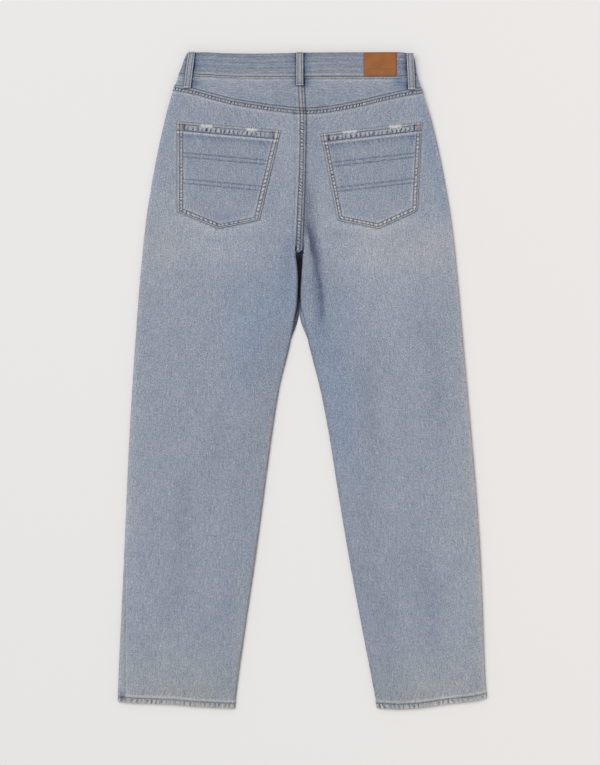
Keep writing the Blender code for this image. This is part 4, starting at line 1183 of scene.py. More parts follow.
def back_pocket(name, corners):
    ring = pocket_ring(corners)
    left_top, right_top, right_low, point, left_low = ring
    width = right_top[0] - left_top[0]
    length = point[1] - left_top[1]
    peak = (point[0] - left_low[0]) / (right_low[0] - left_low[0])

    def bordered(size, start, end, close=0.62, wide=1.7):
        """Shares of a size, close together in its borders."""
        return spread((0, start, close), (start, size - end, wide), (size - end, size, close)) / size

    u = np.sort(np.append(bordered(width, 14, 14), peak))
    v = bordered(length, 18, 14)
    upper = [mix(left_top[k], right_top[k], u) for k in (0, 1)]
    after = (u - peak) / (1 - peak)
    lower = [
        np.where(u <= peak, mix(left_low[k], point[k], u / peak), mix(point[k], right_low[k], after))
        for k in (0, 1)
    ]
    across, down = (mix(upper[k][None, :], lower[k][None, :], v[:, None]) for k in (0, 1))
    mouth, edge, others = pocket_edges(ring, across, down)
    deeper = 0.9 if ring[0][0] < 0 else 0.2
    height = upper_surface(across, down) + GAP
    proud = pocket_proud(mouth, edge)
    nearest = np.minimum(mouth, edge)
    edge = row_distance(ring, others)
    seed = 2.0 if ring[0][0] < 0 else 5.0
    hem_wave = ripple(across + 0.35 * mouth, 5.6, seed)
    hem_band = between(mouth, 5.2, 6.2, 11.0, 12.0) * ramp(edge, 3, 5)
    after = between(mouth, 16.5, 18, 20, 33) * ramp(edge, 8, 14)
    side_wave = ripple(down + 0.3 * across, 5.2, seed + 1)
    side_band = between(edge, 3.5, 4.1, 6.7, 7.3) * ramp(mouth, 12, 15)
    inward = between(edge, 10, 12, 13, 22) * ramp(mouth, 20, 30)
    proud -= 0.9 * fall(nearest, 0, 0.9)
    proud -= 0.3 * (two_rows(mouth, (4.4, 12.4 + deeper), 0.7) + two_rows(edge, ROW_AT, 0.6))
    within = ramp(edge, 8.2, 8.8) * ramp(mouth, 14, 18)
    drawn = 0.0 * across
    for share in ROWS_ACROSS:
        drawn += within * bump(line_distance(across, down, *row_across(ring, share)), 0, 0.8)
    proud -= 0.25 * drawn
    proud += 0.2 * hem_wave * hem_band + 0.14 * side_wave * side_band
    tone, hue = zones(across, down)
    tone = 0.5 * tone + POCKET_TONE + 3 * ramp(down, 200, 270)
    in_mouth = fall(mouth, 14, 17)
    shifted = mouth - deeper * ramp(mouth, 8, 11)
    tone += tones(MOUTH_TONES, shifted)
    tone += tones(POCKET_TONES, edge) * (1 - 0.7 * in_mouth * ramp(edge, 4, 8))
    lower = (np.argmin(others, 0) % 3 > 0) & (mouth > 30)
    # The rows of stitches are darker, most on the pointed lower sides: partly painted shade in their
    # grooves
    tone -= np.where(lower, 16, 6) * two_rows(edge, ROW_AT, 0.7) * ramp(mouth, 14, 16)
    beat = np.where(lower, across / 6.6, (down + 0.3 * across) / 5.8)
    beat = np.where(mouth < 15, (across + 0.1 * mouth) / 7.0, beat)
    ticked = 45 * hem_band * (0.75 + 0.25 * ramp(mouth, 7, 9)) * (0.5 + 0.5 * ramp(edge, 14, 32))
    ticked += 36 * side_band
    tone += 13 * ripple(across - 0.7 * mouth, 6.4, seed + 3) * after
    tone += 5 * side_wave * inward - 44 * drawn
    edged = 0.9 - 0.5 * ramp(mouth, 3, 6) + 0.5 * bump(mouth, 13.2, 2.0) - 2 * ramp(mouth, 14, 18)
    hue += 0.62 * np.maximum(fall(edge, 8.5, 11), edged)
    for at, dark in ((ring[0], 12), (ring[1], 20)):
        corner = spot(across - at[0], down - at[1] - 24, 20, 14)
        tone -= dark * corner * ramp(edge, 9, 12) * ramp(mouth, 14, 18)
        hue -= 0.5 * corner * ramp(edge, 9, 12) * ramp(mouth, 14, 18)
        middle = at[0] + np.sign(ring[1][0] - ring[0][0]) * (5.5 if at is ring[0] else -5.5)
        tacked = np.exp(-(((across - middle) / 3.6) ** 4))
        tacked = tacked * between(mouth, 1, 2, 12, 13)
        from_corner = np.abs(across - at[0])
        tone += 8 * tacked - 60 * bump(from_corner, 12.2, 1.5) * between(mouth, 2, 3, 12, 13)
        hue += 0.45 * tacked
    tone -= 16 * spot(across - 44, down - 142, 9, 7) * ramp(edge, 9, 11)
    for fray in FRAYED:
        tilt = fray.slope * (across - fray.across)
        ragged = 0.8 * np.sin(across * 1.1 + fray.across) + 0.5 * np.sin(across * 2.3)
        thick = np.maximum(0.4, fray.half_width + ragged)
        above = down - fray.down - tilt + 0.3 * ragged
        worn = np.exp(-(((across - fray.across) / fray.half_length) ** 6) - (above / thick) ** 4)
        tone += 62 * worn
        ticked = ticked * (1 - worn)
        hue += 0.1 * worn
    grain = np.stack([across + 0.02 * down, down + 90], -1)
    points = world(across, down, height)
    cloth = Cloth(name, points, (0, 0, 1), 0.0, tone, hue, grain, proud, 5, beats=(beat, ticked))
    cloth.declare(name, (width * 0.001 + 0.002, length * 0.001), None, ["back_leg_" + name.split("_")[-1]])
    return cloth


def loop_shape(name, middle, down, base, top_height, out, tone):
    """A belt loop from its middle line: 11 mm wide, with a row of stitches along each edge."""
    offs = np.linspace(-0.5, 0.5, 23) * LOOP_WIDTH
    across = middle[:, None] + offs[None, :]
    downs = down[:, None] + 0 * across
    edge = LOOP_WIDTH / 2 - np.abs(offs)[None, :] + 0 * across
    end = np.minimum(np.abs(downs - down[0]), np.abs(downs - down[-1]))
    proud = top_height - 0.7 * fall(edge, 0, 1.0) - 0.5 * fall(end, 0, 1.0)
    proud -= 0.28 * bump(edge, 2.6, 0.6)
    wave = ripple(downs + 0.4 * offs[None, :], 4.4, 1.0)
    shade = tone + tones(LOOP_TONES, edge) + 7 * wave * ramp(edge, 3, 4) - 12 * fall(end, 0, 1.0)
    shade += 34 * bump(np.abs(downs - down[-1]), 1.2, 0.8) - 26 * bump(np.abs(downs - down[-1]), 3.2, 0.8)
    grain = np.stack([across, downs + 40], -1)
    height = (base[:, None] if np.ndim(base) else base) + 0 * across
    return Cloth(name, world(across, downs, height), out, 0.0, shade, 0.62 + 0 * across, grain, proud, 3)


def back_loop(loop):
    start = waist_top(loop.top_across) - 0.6
    share = np.linspace(0, 1, 60)
    middle = mix(loop.top_across, loop.bottom_across, share)
    down = mix(start, loop.bottom_down, share)
    places = middle[:, None] + LOOP_WIDTH * np.array([-0.5, 0.0, 0.5])
    ground = upper_surface(places, np.maximum(down, 0.5)[:, None]).max(1)
    window = np.ones(9) / 9
    ground = np.maximum(ground, np.convolve(np.pad(ground, 4, "edge"), window, "valid"))
    base = ground + GAP + LOOP_BOW * np.sin(np.pi * share) ** 1.5
    cloth = loop_shape(loop.name, middle, down, base, LOOP_CLOTH, (0, 0, 1), LOOP_TONE)
    cloth.declare(loop.name, (0.011, 0.058), None, ["waistband"])
    return cloth


def front_loop(loop):
    start = front_dip(loop.top_across) + waist_top(loop.top_across) - 0.6
    share = np.linspace(0, 1, 40)
    middle = mix(loop.top_across, loop.bottom_across, share)
    down = mix(start, loop.bottom_down, share)
    cloth = loop_shape(loop.name, middle, down, LOOP_CLOTH, LOOP_CLOTH, (0, 0, -1), LOOP_TONE)
    cloth.declare(loop.name, (0.011, 0.052), None, ["waistband"])
    return cloth


# Sewing

Thread = namedtuple("Thread", "name colour")
SLATE = Thread("thread_slate", (0.105, 0.09, 0.105, 1))
BROWN = Thread("thread_brown", (0.14, 0.085, 0.075, 1))
TAN = Thread("thread_tan", (0.24, 0.18, 0.145, 1))
PALE = Thread("thread_pale", (0.60, 0.60, 0.60, 1))
seams = {SLATE: [], BROWN: [], TAN: [], PALE: []}


def stitches(
    path, normals, thread=SLATE, pitch=STITCH_PITCH, length=STITCH_LENGTH, width=STITCH_WIDTH, sink=0.08
):
    """A row of stitches along a line of world points, lying on the cloth."""
    path, normals = np.asarray(path, float), np.broadcast_to(np.asarray(normals, float), np.shape(path))
    way = np.concatenate([[0], np.cumsum(np.linalg.norm(np.diff(path, axis=0), axis=1))])
    count = int(way[-1] / pitch)
    if count < 1:
        return
    at = (np.arange(count) + 0.5) * way[-1] / count
    at = at + rng.normal(0, 0.05, count) * pitch

    def along(values, where):
        return np.stack([np.interp(where, way, values[:, k]) for k in range(3)], -1)

    start, end = along(path, at - length / 2), along(path, at + length / 2)
    normal = unit(along(normals, at))
    forward = unit(end - start)
    across = unit(np.cross(normal, forward))
    turned = unit(forward + across * rng.normal(0.0, 0.05, (count, 1)))
    middle = (start + end) / 2 - normal * sink
    seams[thread].append((middle, turned, across, normal, length, width))


def add_threads(name, thread, points, faces):
    mesh = bpy.data.meshes.new(name)
    mesh.from_pydata((np.concatenate(points) * 0.001).tolist(), [], faces)
    made = link(name, mesh, thread_finish(thread))
    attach(made, "root")


def sewn(thread):
    """All of one thread's stitches as one mesh of small rounded lengths."""
    rings, sides = (-0.72, -0.3, 0.3, 0.72), 6
    shape = [(-1.0, 0.0, 0.0)]
    for x in rings:
        size = 1.0 if abs(x) < 0.5 else 0.78
        for k in range(sides):
            turn = 2 * np.pi * k / sides
            shape.append((x, size * np.cos(turn), size * np.sin(turn)))
    shape.append((1.0, 0.0, 0.0))
    shape = np.array(shape)
    faces = [[0, 1 + (k + 1) % sides, 1 + k] for k in range(sides)]
    for ring in range(len(rings) - 1):
        for k in range(sides):
            a, b = 1 + ring * sides + k, 1 + ring * sides + (k + 1) % sides
            faces.append([a, b, b + sides, a + sides])
    last = len(shape) - 1
    faces += [[last, last - sides + k, last - sides + (k + 1) % sides] for k in range(sides)]
    points, polygons, used = [], [], 0
    for middle, forward, across, normal, length, width in seams[thread]:
        size = np.array([length / 2, width / 2, STITCH_HEIGHT / 2])
        local = shape * size
        local[:, 2] = local[:, 2] - 0.12 * (local[:, 0] / size[0]) ** 2
        turned = np.stack([forward, across, normal], 1)
        points.append((middle[:, None, :] + np.einsum("vk,nkc->nvc", local, turned)).reshape(-1, 3))
        for n in range(len(middle)):
            polygons += [[i + used for i in face] for face in faces]
            used += len(shape)
    add_threads(thread.name, thread, points, polygons)


def grid_row(cloth, at):
    """The row of a cloth's grid nearest to a place, as points and normals."""
    i = int(np.argmin(np.abs(cloth.rows - at)))
    return cloth.points[i], cloth.normals[i]


def plan_line(points, height, step=1.5):
    """World points along straight plan lines, at a height given by a function."""
    found = []
    for a, b in zip(points, points[1:]):
        a, b = np.array(a, float), np.array(b, float)
        count = max(2, int(np.hypot(*(b - a)) / step))
        found.append(a + (b - a) * np.linspace(0, 1, count)[:, None])
    line = np.concatenate(found)
    return world(line[:, 0], line[:, 1], height(line[:, 0], line[:, 1]))


def bartack(at, run, height, thread=SLATE):
    """A short bar of close stitches across a line."""
    at, run = np.array(at, float), np.array(run, float)
    side = unit(np.array([-run[1], run[0]]))
    ends = [at - run / 2, at + run / 2]
    count = max(3, int(np.hypot(*run) / 0.75))
    for k in range(count):
        place = ends[0] + run * (k + 0.5) / count
        a, b = place - side * 0.8, place + side * 0.8
        line = plan_line([a, b], height, 0.5)
        stitches(line, (0, 0, 1), thread, pitch=1.6, length=1.9, width=0.7, sink=-0.1)


def sew_back(legs):
    for side, leg in legs:
        for at in YOKE_ROWS:
            points, normals = grid_row(leg, BACK_TOP + at)
            inset = np.abs(side.inner(90.0) - leg.across[0]) > side.either(12.5, 0.5)
            stitches(points[inset], normals[inset])
        points, normals = grid_row(leg, BACK_HEM - HEM_ROW)
        stitches(points, normals, pitch=3.6)
    for off in YOKE_CENTRE_ROWS:
        downs = np.linspace(waist_edge(0.0) + 1, yoke_seam(0.0) - 1, 40)
        across = LEFT.inner(downs) - off
        height = upper_height(across, downs) + SEAM_PROUD - 0.25
        stitches(world(across, downs, height), (0, 0, 1))
    for off in CENTRE_ROWS:
        downs = np.linspace(yoke_seam(0.0) + 0.5, 300, 160)
        across = LEFT.inner(downs) - off - (row_shift(downs) if off > 5 else 0)
        height = upper_height(across, downs) + SEAM_PROUD * (1 - crotch_curl(downs)) - 0.25
        stitches(world(across, downs, height), (0, 0, 1))


def sew_pocket(corners):
    ring = pocket_ring(corners)

    def height(across, down):
        return pocket_height(corners, across, down) - 0.22

    own = POCKET_ROWS[-1 if ring[0][0] < 0 else 1]
    for row in (0, 1):
        line = inset(ring, [0.8] + [rows[row] for rows in own])
        around = [line[1], line[2], line[3], line[4], line[0]]
        stitches(plan_line(around, height), (0, 0, 1), SLATE, pitch=3.0, length=2.5)
    for amount in (4.4, 13.3 if ring[0][0] < 0 else 12.6):
        line = inset(ring, (amount, 1.0, 1.0, 1.0, 1.0))
        stitches(plan_line([line[0], line[1]], height), (0, 0, 1), BROWN, pitch=3.0, length=2.5)
    for corner, inner in ((0, 1), (1, 0)):
        a = np.array(ring[corner], float)
        run = unit(np.array(ring[inner], float) - a)
        for start, thread in ((3.4, BROWN), (5.8, TAN), (8.2, BROWN), (10.4, SLATE)):
            bartack(a + run * start + np.array([0, 7.2]), np.array([0.0, 9.0]), height, thread)
    for share in ROWS_ACROSS:
        a, b = row_across(ring, share)
        run = unit(b - a) * 8.6
        stitches(plan_line([a + run, b - run], height), (0, 0, 1), pitch=2.8, length=2.4, width=0.7)


def sew_loop(cloth):
    columns = cloth.points.shape[1]
    for k in (5, columns - 6):
        stitches(cloth.points[:, k], cloth.normals[:, k], pitch=2.9, length=2.4, width=0.6)
    for row, width in ((-4, 0.8), (3, 0.9)):
        stitches(cloth.points[row, 2:-2], cloth.normals[row, 2:-2], pitch=0.9, length=1.0, width=width)


def sew_band(cloth):
    row = int(np.argmin(np.abs((1 - cloth.shares) * BAND_DEPTH - 2.5)))
    stitches(cloth.points[row], cloth.out[row], pitch=3.2)
    row = int(np.argmin(np.abs(cloth.shares * BAND_DEPTH - 2.4)))
    stitches(cloth.points[row, :200], cloth.out[row, :200], pitch=3.2, width=0.6)


def sew_front(legs):
    for side, leg in legs:
        points, normals = grid_row(leg, BACK_HEM - HEM_ROW)
        stitches(points, normals, pitch=3.6)
        for at in (2.3, 8.0):
            row = int(np.argmin(np.abs(leg.rows - FRONT_TOP - at)))
            keep = np.abs(leg.across[row]) > SCOOP_START + 4
            stitches(leg.points[row][keep], leg.normals[row][keep])
        for at in (8.0, 2.4) if side is LEFT else ():
            ends = np.argmin(np.abs(np.abs(front_inner(side, leg.down) - leg.across) - at), 1)
            keep = (leg.down[:, -1] > 66) & (leg.down[:, -1] < 388)
            rows = np.arange(len(leg.rows))
            stitches(leg.points[rows, ends][keep], leg.normals[rows, ends][keep])
    turns = np.linspace(0, np.pi / 2, 24)[1:]
    downs = np.concatenate([np.linspace(66, 165, 60), 165 + 33 * np.sin(turns)])
    across = np.concatenate([np.full(60, -36.0), -36 + 36 * (1 - np.cos(turns))])
    for shift in (0.0, 6.0):
        line = world(np.minimum(across + shift, -4), downs - shift * 0.4, lift(downs) + 0.05)
        stitches(line, (0, 0, -1), BROWN, sink=0.0)


def frayed_threads():
    """Loose white threads where the pocket mouths have worn through."""
    points, faces = [], []
    sides = 4
    for fray in FRAYED:
        for _ in range(85):
            across = fray.across + rng.uniform(-1, 1) * fray.half_length
            down = fray.down + fray.slope * (across - fray.across) + rng.normal(0, 0.7) * fray.half_width
            loose = rng.random() < 0.12
            turn = rng.uniform(1.1, 2.1) if loose else rng.normal(0, 0.45)
            length = rng.uniform(4.5, 8.0) if loose else rng.uniform(1.6, 5.0)
            bend = rng.normal(0, 0.8)
            share = np.linspace(0, 1, 6)
            along, bent = length * (share - 0.5), bend * np.sin(np.pi * share)
            line_across = across + along * np.cos(turn) - bent * np.sin(turn)
            line_down = down + along * np.sin(turn) + bent * np.cos(turn)
            ring = pocket_ring(POCKETS[0 if fray.across < 0 else 1].corners)
            run = np.array(ring[1], float) - ring[0]
            above = (line_down - ring[0][1]) * run[0] < (line_across - ring[0][0]) * run[1]
            ground = upper_surface(line_across, line_down)
            height = np.where(above, ground + 0.5, ground + GAP + CLOTH + POCKET_PROUD)
            height = np.maximum(height, height.max() - 0.4 * length)
            height += rng.uniform(0.0, 0.7) * np.sin(np.pi * share) + 0.1
            line = world(line_across, line_down, height)
            forward = unit(np.gradient(line, axis=0))
            aside = unit(np.cross(forward, (0, 0, 1)))
            up = np.cross(aside, forward)
            radius = rng.uniform(0.13, 0.24)
            base = sum(len(p) for p in points)
            for k in range(sides):
                angle = 2 * np.pi * k / sides
                points.append(line + radius * (np.cos(angle) * aside + np.sin(angle) * up))
            for k in range(sides):
                for i in range(len(share) - 1):
                    a, b = base + k * len(share) + i, base + (k + 1) % sides * len(share) + i
                    faces.append([a, a + 1, b + 1, b])
    add_threads("frayed_threads", PALE, points, faces)


# Materials

finishes = {}


class Nodes:
    """Short names for making a material's nodes."""

    def __init__(self, name):
        self.material = bpy.data.materials.new(name)
        self.material.use_nodes = True
        self.tree = self.material.node_tree
        self.shader = self.tree.nodes["Principled BSDF"]

    def add(self, kind, inputs=(), **settings):
        node = self.tree.nodes.new(kind)
        for key, value in settings.items():
            setattr(node, key, value)
        for key, value in dict(inputs).items():
            self.put(node.inputs[key], value)
        return node

    def put(self, socket, value):
        if isinstance(value, bpy.types.NodeSocket):
            self.tree.links.new(value, socket)
        else:
            socket.default_value = value

    def maths(self, operation, *values):
        node = self.add("ShaderNodeMath", operation=operation)
        for i, value in enumerate(values):
            self.put(node.inputs[i], value)
        return node.outputs[0]

    def times(self, a, b):
        return self.maths("MULTIPLY", a, b)

    def plus(self, a, b):
        return self.maths("ADD", a, b)

    def place(self):
        return self.add("ShaderNodeTexCoord").outputs["Object"]

    def between(self, value, start, end, low=0.0, high=1.0):
        """From low at the start to high at the end."""
        ends = {"From Min": start, "From Max": end, "To Min": low, "To Max": high}
        return self.add("ShaderNodeMapRange", {"Value": value, **ends}).outputs[0]

    def finish(self, colour, roughness, relief=None, others=()):
        """The shader's colour and roughness, its relief (height, strength, depth), and the rest."""
        self.put(self.shader.inputs["Base Color"], colour)
        for key, value in {"Roughness": roughness, **dict(others)}.items():
            self.shader.inputs[key].default_value = value
        if relief is not None:
            inputs = dict(zip(("Height", "Strength", "Distance"), relief))
            self.put(self.shader.inputs["Normal"], self.add("ShaderNodeBump", inputs).outputs[0])
        return self.material

    def noise(self, vector, stretch, turn=0.0, detail=2.0, rough=0.5):
        """Noise from 0 to 1, on the plan stretched to (wide, long) millimetres a grain."""
        scale = (10 / stretch[0], 10 / stretch[1], 1)
        turned = self.add("ShaderNodeMapping", {"Vector": vector, "Rotation": (0, 0, turn)})
        sized = self.add("ShaderNodeMapping", {"Vector": turned.outputs[0], "Scale": scale})
        inputs = {"Vector": sized.outputs[0], "Scale": 1.0, "Detail": detail, "Roughness": rough}
        return self.add("ShaderNodeTexNoise", inputs, noise_dimensions="2D").outputs[0]

    def swing(self, noise, amount):
        """A noise as a change from -amount to +amount about its middle."""
        return self.times(self.maths("SUBTRACT", noise, 0.5), amount * 2)

    def attribute(self, name):
        return self.add("ShaderNodeAttribute", attribute_name=name).outputs["Fac"]

    def ramp(self, value, stops):
        node = self.add("ShaderNodeValToRGB", {"Fac": value})
        while len(node.color_ramp.elements) < len(stops):
            node.color_ramp.elements.new(0.5)
        for element, (position, colour) in zip(node.color_ramp.elements, stops):
            element.position = position
            element.color = colour
        return node.outputs[0]

    def mix(self, share, a, b, blend="MIX"):
        node = self.add("ShaderNodeMix", data_type="RGBA", blend_type=blend)
        self.put(node.inputs["Factor"], share)
        self.put(node.inputs["A"], a)
        self.put(node.inputs["B"], b)
        return node.outputs["Result"]


def linear(red, green, blue):
    """A colour given as 0 to 255 on screen, as the shader takes it."""
    shares = [part / 255 for part in (red, green, blue)]
    return (*(((s + 0.055) / 1.055) ** 2.4 if s > 10 / 255 else s / 12.92 for s in shares), 1)


Dye = namedtuple("Dye", "tone red green blue")
DYES = table(
    Dye,
    (12, 10, 11, 16), (50, 42, 48, 66), (80, 71, 79, 99), (105, 95, 105, 124), (130, 121, 131, 148),
    (150, 142, 151, 165), (165, 160, 165, 176), (182, 180, 182, 188), (205, 206, 204, 203),
    (235, 237, 234, 230),
)


# The unevenness of the yarns: slubs, wide streaks, mottle, flecks, fine grain, clouds and weft
Yarn = namedtuple("Yarn", "wide long turn detail rough amount")
YARNS = table(
    Yarn,
    (0.85, 14.0, 0.0, 3.0, 0.6, 0.135),
    (3.4, 30.0, 0.0, 2.0, 0.5, 0.035),
    (3.2, 4.2, 0.0, 2.0, 0.5, 0.03),
    (1.0, 3.2, -0.1, 1.0, 0.5, 0.12),
    (1.3, 1.6, 0.0, 1.0, 0.5, 0.12),
    (38.0, 70.0, 0.0, 2.0, 0.5, 0.022),
    (7.0, 0.9, 0.0, 2.0, 0.5, 0.035),
)


def denim():
    """Washed indigo twill: a fade from blue to white, uneven yarns, and diagonal ribs."""
    if "denim" in finishes:
        return finishes["denim"]
    n = Nodes("denim")
    grain = n.add("ShaderNodeUVMap", uv_map="grain").outputs[0]
    tone = n.attribute("tone")
    hue = n.attribute("hue")
    slub, wide, mottle, fleck, fine, cloud, weft = (
        n.swing(n.noise(grain, (yarn.wide, yarn.long), yarn.turn, yarn.detail, yarn.rough), yarn.amount)
        for yarn in YARNS
    )
    turned = n.add("ShaderNodeMapping", {"Vector": grain, "Rotation": (0, 0, 1.02)})
    ribs = {"Scale": 4.3, "Distortion": 0.8, "Detail": 1.0, "Detail Scale": 3.0}
    inputs = {"Vector": turned.outputs[0], **ribs}
    twill = n.add("ShaderNodeTexWave", inputs, bands_direction="X").outputs["Fac"]
    # Short dark ticks with paler lumps between them, where two rows of stitches pucker a seam
    uneven = n.swing(n.noise(grain, (9.0, 9.0), 0.0, 1.0), 0.5)
    patchy = n.plus(n.swing(n.noise(grain, (17.0, 17.0), 0.4, 1.0), 1.6), 0.95)
    ticked = n.times(n.attribute("ticked"), n.maths("MAXIMUM", patchy, 0.25))
    wave = n.maths("SINE", n.times(n.plus(n.attribute("beat"), uneven), 2 * np.pi))
    dark = n.times(n.maths("POWER", n.maths("MAXIMUM", wave, 0.0), 1.5), 1.5)
    pale = n.times(n.maths("MAXIMUM", n.times(wave, -1.0), 0.0), 0.5)
    tick = n.times(ticked, n.maths("SUBTRACT", pale, dark))
    # The fine grain is stronger up the legs, and weaker above the yokes' seams
    place = n.add("ShaderNodeSeparateXYZ", {"Vector": n.place()}).outputs[1]
    finer = n.between(place, -0.3, 0.05, 0.8, 1.32)
    above = n.between(place, 0.42, 0.44, 1.0, 0.68)
    total = n.times(fine, n.times(finer, above))
    for part in (fleck, slub, wide, mottle, cloud, weft, n.swing(twill, 0.03), tick):
        total = n.plus(total, part)
    # Cloth in deep shade shows no grain
    lit = n.maths("MINIMUM", n.times(tone, 4.0), 1.0)
    total = n.plus(tone, n.times(total, lit))
    hue = n.maths("SUBTRACT", hue, n.times(n.times(ticked, dark), 3.0))
    colour = n.ramp(total, [(dye.tone / 255, linear(*dye[1:])) for dye in DYES])
    warm = n.maths("MAXIMUM", hue, 0.0)
    cool = n.maths("MAXIMUM", n.times(hue, -1.0), 0.0)
    lower = n.between(place, -0.15, -0.48)
    warmth = n.mix(lower, (1.095, 0.985, 0.875, 1), (1.07, 1.005, 0.875, 1))
    colour = n.mix(warm, colour, warmth, "MULTIPLY")
    colour = n.mix(cool, colour, (0.84, 0.97, 1.16, 1), "MULTIPLY")
    relief = n.plus(n.times(twill, 0.35), n.times(slub, 7.0))
    relief = n.plus(relief, n.times(fleck, 4.0))
    relief = n.plus(relief, n.times(tick, 3.0))
    others = {"Specular IOR Level": 0.15, "Sheen Weight": 0.12, "Sheen Roughness": 0.6}
    finishes["denim"] = n.finish(colour, 0.92, (relief, 0.35, 0.0004), others)
    return n.material


def thread_finish(thread):
    if thread.name in finishes:
        return finishes[thread.name]
    n = Nodes(thread.name)
    place = n.place()
    worn = n.add("ShaderNodeTexNoise", {"Vector": place, "Scale": 900.0, "Detail": 2.0}).outputs[0]
    paler = tuple(min(1.0, c * 1.9 + 0.03) for c in thread.colour[:3]) + (1,)
    colour = n.mix(worn, thread.colour, paler)
    inputs = {"Vector": place, "Scale": 1400.0}
    ply = n.add("ShaderNodeTexWave", inputs, bands_direction="DIAGONAL").outputs["Fac"]
    finishes[thread.name] = n.finish(colour, 0.75, (ply, 0.5, 0.0002), {"Sheen Weight": 0.2})
    return n.material


def leather():
    """Smooth tan leather: fine grain, a soft mottle and darker edges."""
    n = Nodes("tan_leather")
    place = n.place()
    inputs = {"Vector": place, "Scale": 1100.0}
    grain = n.add("ShaderNodeTexVoronoi", inputs, feature="DISTANCE_TO_EDGE").outputs[0]
    mottle = n.add("ShaderNodeTexNoise", {"Vector": place, "Scale": 60.0, "Detail": 4.0}).outputs[0]
    edge = n.attribute("edge")
    colour = n.ramp(mottle, [(0.3, linear(139, 81, 30)), (0.7, linear(153, 94, 41))])
    colour = n.mix(edge, colour, linear(104, 60, 34))
    return n.finish(colour, 0.52, (grain, 0.25, 0.0003), {"Specular IOR Level": 0.3})


def patch():
    """The bare leather patch, with a plain pressed line near its lower edge."""
    u = spread((0, 0.06, 0.01), (0.06, 0.94, 0.02), (0.94, 1, 0.01))
    v = spread((0, 0.08, 0.014), (0.08, 0.92, 0.02), (0.92, 1, 0.014))
    across = mix(PATCH_LEFT, PATCH_RIGHT, u)[None, :] + 0 * v[:, None]
    down = mix(PATCH_TOP, PATCH_BOTTOM, v)[:, None] + 0 * u[None, :]
    across_in = np.minimum(across - PATCH_LEFT, PATCH_RIGHT - across)
    down_in = np.minimum(down - PATCH_TOP, PATCH_BOTTOM - down)
    edge = np.minimum(across_in, down_in)
    line = bump(down, 27.5, 0.5) * ramp(across_in, 5, 6)
    proud = PATCH_CLOTH - 0.6 * fall(edge, 0, 1.0) - 0.15 * bump(edge, PATCH_ROW, 0.4) - 0.25 * line
    base = top(0.0) + BAND_PROUD + GAP + 0 * across
    dark = np.clip(0.8 * fall(edge, 0, 0.9) + 0.35 * bump(edge, PATCH_ROW, 0.4) + 0.4 * line, 0, 1)
    grain = np.stack([across, down], -1)
    points, none = world(across, down, base), 0 * across
    cloth = Cloth("patch", points, (0, 0, 1), 0.0, 150 + none, none, grain, proud, 3)
    mesh = cloth.object.data
    inside = np.zeros(len(mesh.vertices), np.float32)
    inside[: dark.size] = dark.ravel()
    mesh.attributes.new("edge", "FLOAT", "POINT").data.foreach_set("value", inside)
    mesh.materials.clear()
    mesh.materials.append(leather())
    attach(cloth.object, "root")
    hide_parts("patch")
    left, right = PATCH_LEFT + PATCH_ROW, PATCH_RIGHT - PATCH_ROW
    upper, lower = PATCH_TOP + PATCH_ROW, PATCH_BOTTOM - PATCH_ROW
    ring = [(left, upper), (right, upper), (right, lower), (left, lower), (left, upper)]
    height = top(0.0) + BAND_PROUD + GAP + PATCH_CLOTH
    line = plan_line(ring, lambda x, y: height + 0 * x)
    stitches(line, (0, 0, 1), BROWN, pitch=2.8, length=2.0, width=0.5)


def metal(name, colour, roughness):
    n = Nodes(name)
    inputs = {"Vector": n.place(), "Scale": 400.0, "Detail": 3.0}
    worn = n.add("ShaderNodeTexNoise", inputs).outputs[0]
    darker = tuple(c * 0.6 for c in colour[:3]) + (1,)
    return n.finish(n.mix(worn, darker, colour), roughness, None, {"Metallic": 1.0})


def tape():
    n = Nodes("woven_tape")
    inputs = {"Vector": n.place(), "Scale": 500.0}
    rib = n.add("ShaderNodeTexWave", inputs, bands_direction="Y").outputs["Fac"]
    colour = n.mix(rib, (0.03, 0.04, 0.07, 1), (0.06, 0.08, 0.12, 1))
    return n.finish(colour, 0.8, (rib, 0.4, 0.0003))


def give(node, finish):
    held = frame["nodes"][node]
    held.data.materials.clear()
    held.data.materials.append(finish)


# Scene


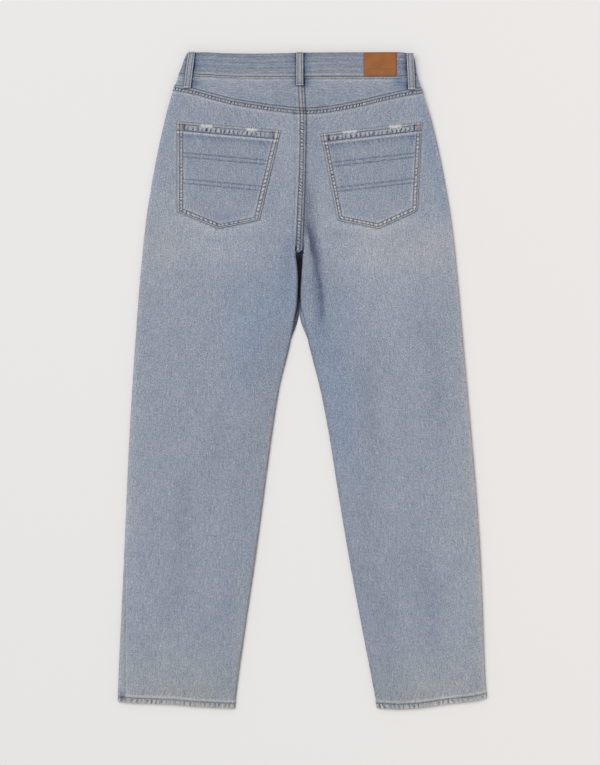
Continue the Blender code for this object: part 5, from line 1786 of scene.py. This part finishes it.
def studio():
    mesh = bpy.data.meshes.new("floor")
    ways = ((-1, -1), (1, -1), (1, 1), (-1, 1))
    corners = [(x * FLOOR_REACH, y * FLOOR_REACH, -FLOOR_UNDER) for x, y in ways]
    mesh.from_pydata(corners, [], [(0, 1, 2, 3)])
    n = Nodes("pale_paper")
    parts = n.add("ShaderNodeSeparateXYZ", {"Vector": n.place()})
    # The floor is painted a little darker towards its left and its bottom, a painted fall-off of the light
    rightwards = n.between(parts.outputs[0], -0.45, 0.45)
    upwards = n.between(parts.outputs[1], -0.6, 0.6)
    left = n.mix(upwards, linear(229, 228, 226), linear(233, 232, 231))
    right = n.mix(upwards, linear(232, 229, 226), linear(235, 232, 229))
    paper = n.finish(n.mix(rightwards, left, right), 0.95, None, {"Specular IOR Level": 0.05})
    floor = link("floor", mesh, paper)

    world_light = bpy.data.worlds.new("studio")
    world_light.use_nodes = True
    background = world_light.node_tree.nodes["Background"]
    background.inputs["Color"].default_value = (1, 1, 1, 1)
    background.inputs["Strength"].default_value = SKY_STRENGTH
    bpy.context.scene.world = world_light
    data = bpy.data.lights.new("key", "SUN")
    data.energy = SUN_STRENGTH
    data.angle = SUN_ANGLE
    lamp = bpy.data.objects.new("key", data)
    lamp.rotation_euler = Vector(SUN_FROM).to_track_quat("-Z", "Y").to_euler()
    bpy.context.scene.collection.objects.link(lamp)

    data = bpy.data.cameras.new("camera")
    data.lens = LENS
    camera = bpy.data.objects.new("camera", data)
    camera.location = CAMERA_AT
    bpy.context.scene.collection.objects.link(camera)
    bpy.context.scene.camera = camera
    bpy.context.scene.view_settings.view_transform = "Standard"


def dress():
    studio()
    band = waistband()
    for side in (LEFT, RIGHT):
        yoke(side)
    backs = [(side, back_leg(side)) for side in (LEFT, RIGHT)]
    fronts = [(side, front_leg(side)) for side in (LEFT, RIGHT)]
    for side in (LEFT, RIGHT):
        pocket_facing(side)
    for pocket in POCKETS:
        back_pocket(*pocket)
        sew_pocket(pocket.corners)
    for loop in BACK_LOOPS:
        sew_loop(back_loop(loop))
    for loop in FRONT_LOOPS:
        sew_loop(front_loop(loop))
    patch()
    sew_band(band)
    sew_back(backs)
    sew_front(fronts)
    for thread in (SLATE, BROWN, TAN):
        sewn(thread)
    frayed_threads()
    give("button", metal("antique_brass", (0.42, 0.30, 0.17, 1), 0.42))
    give("zip", tape())


dress()
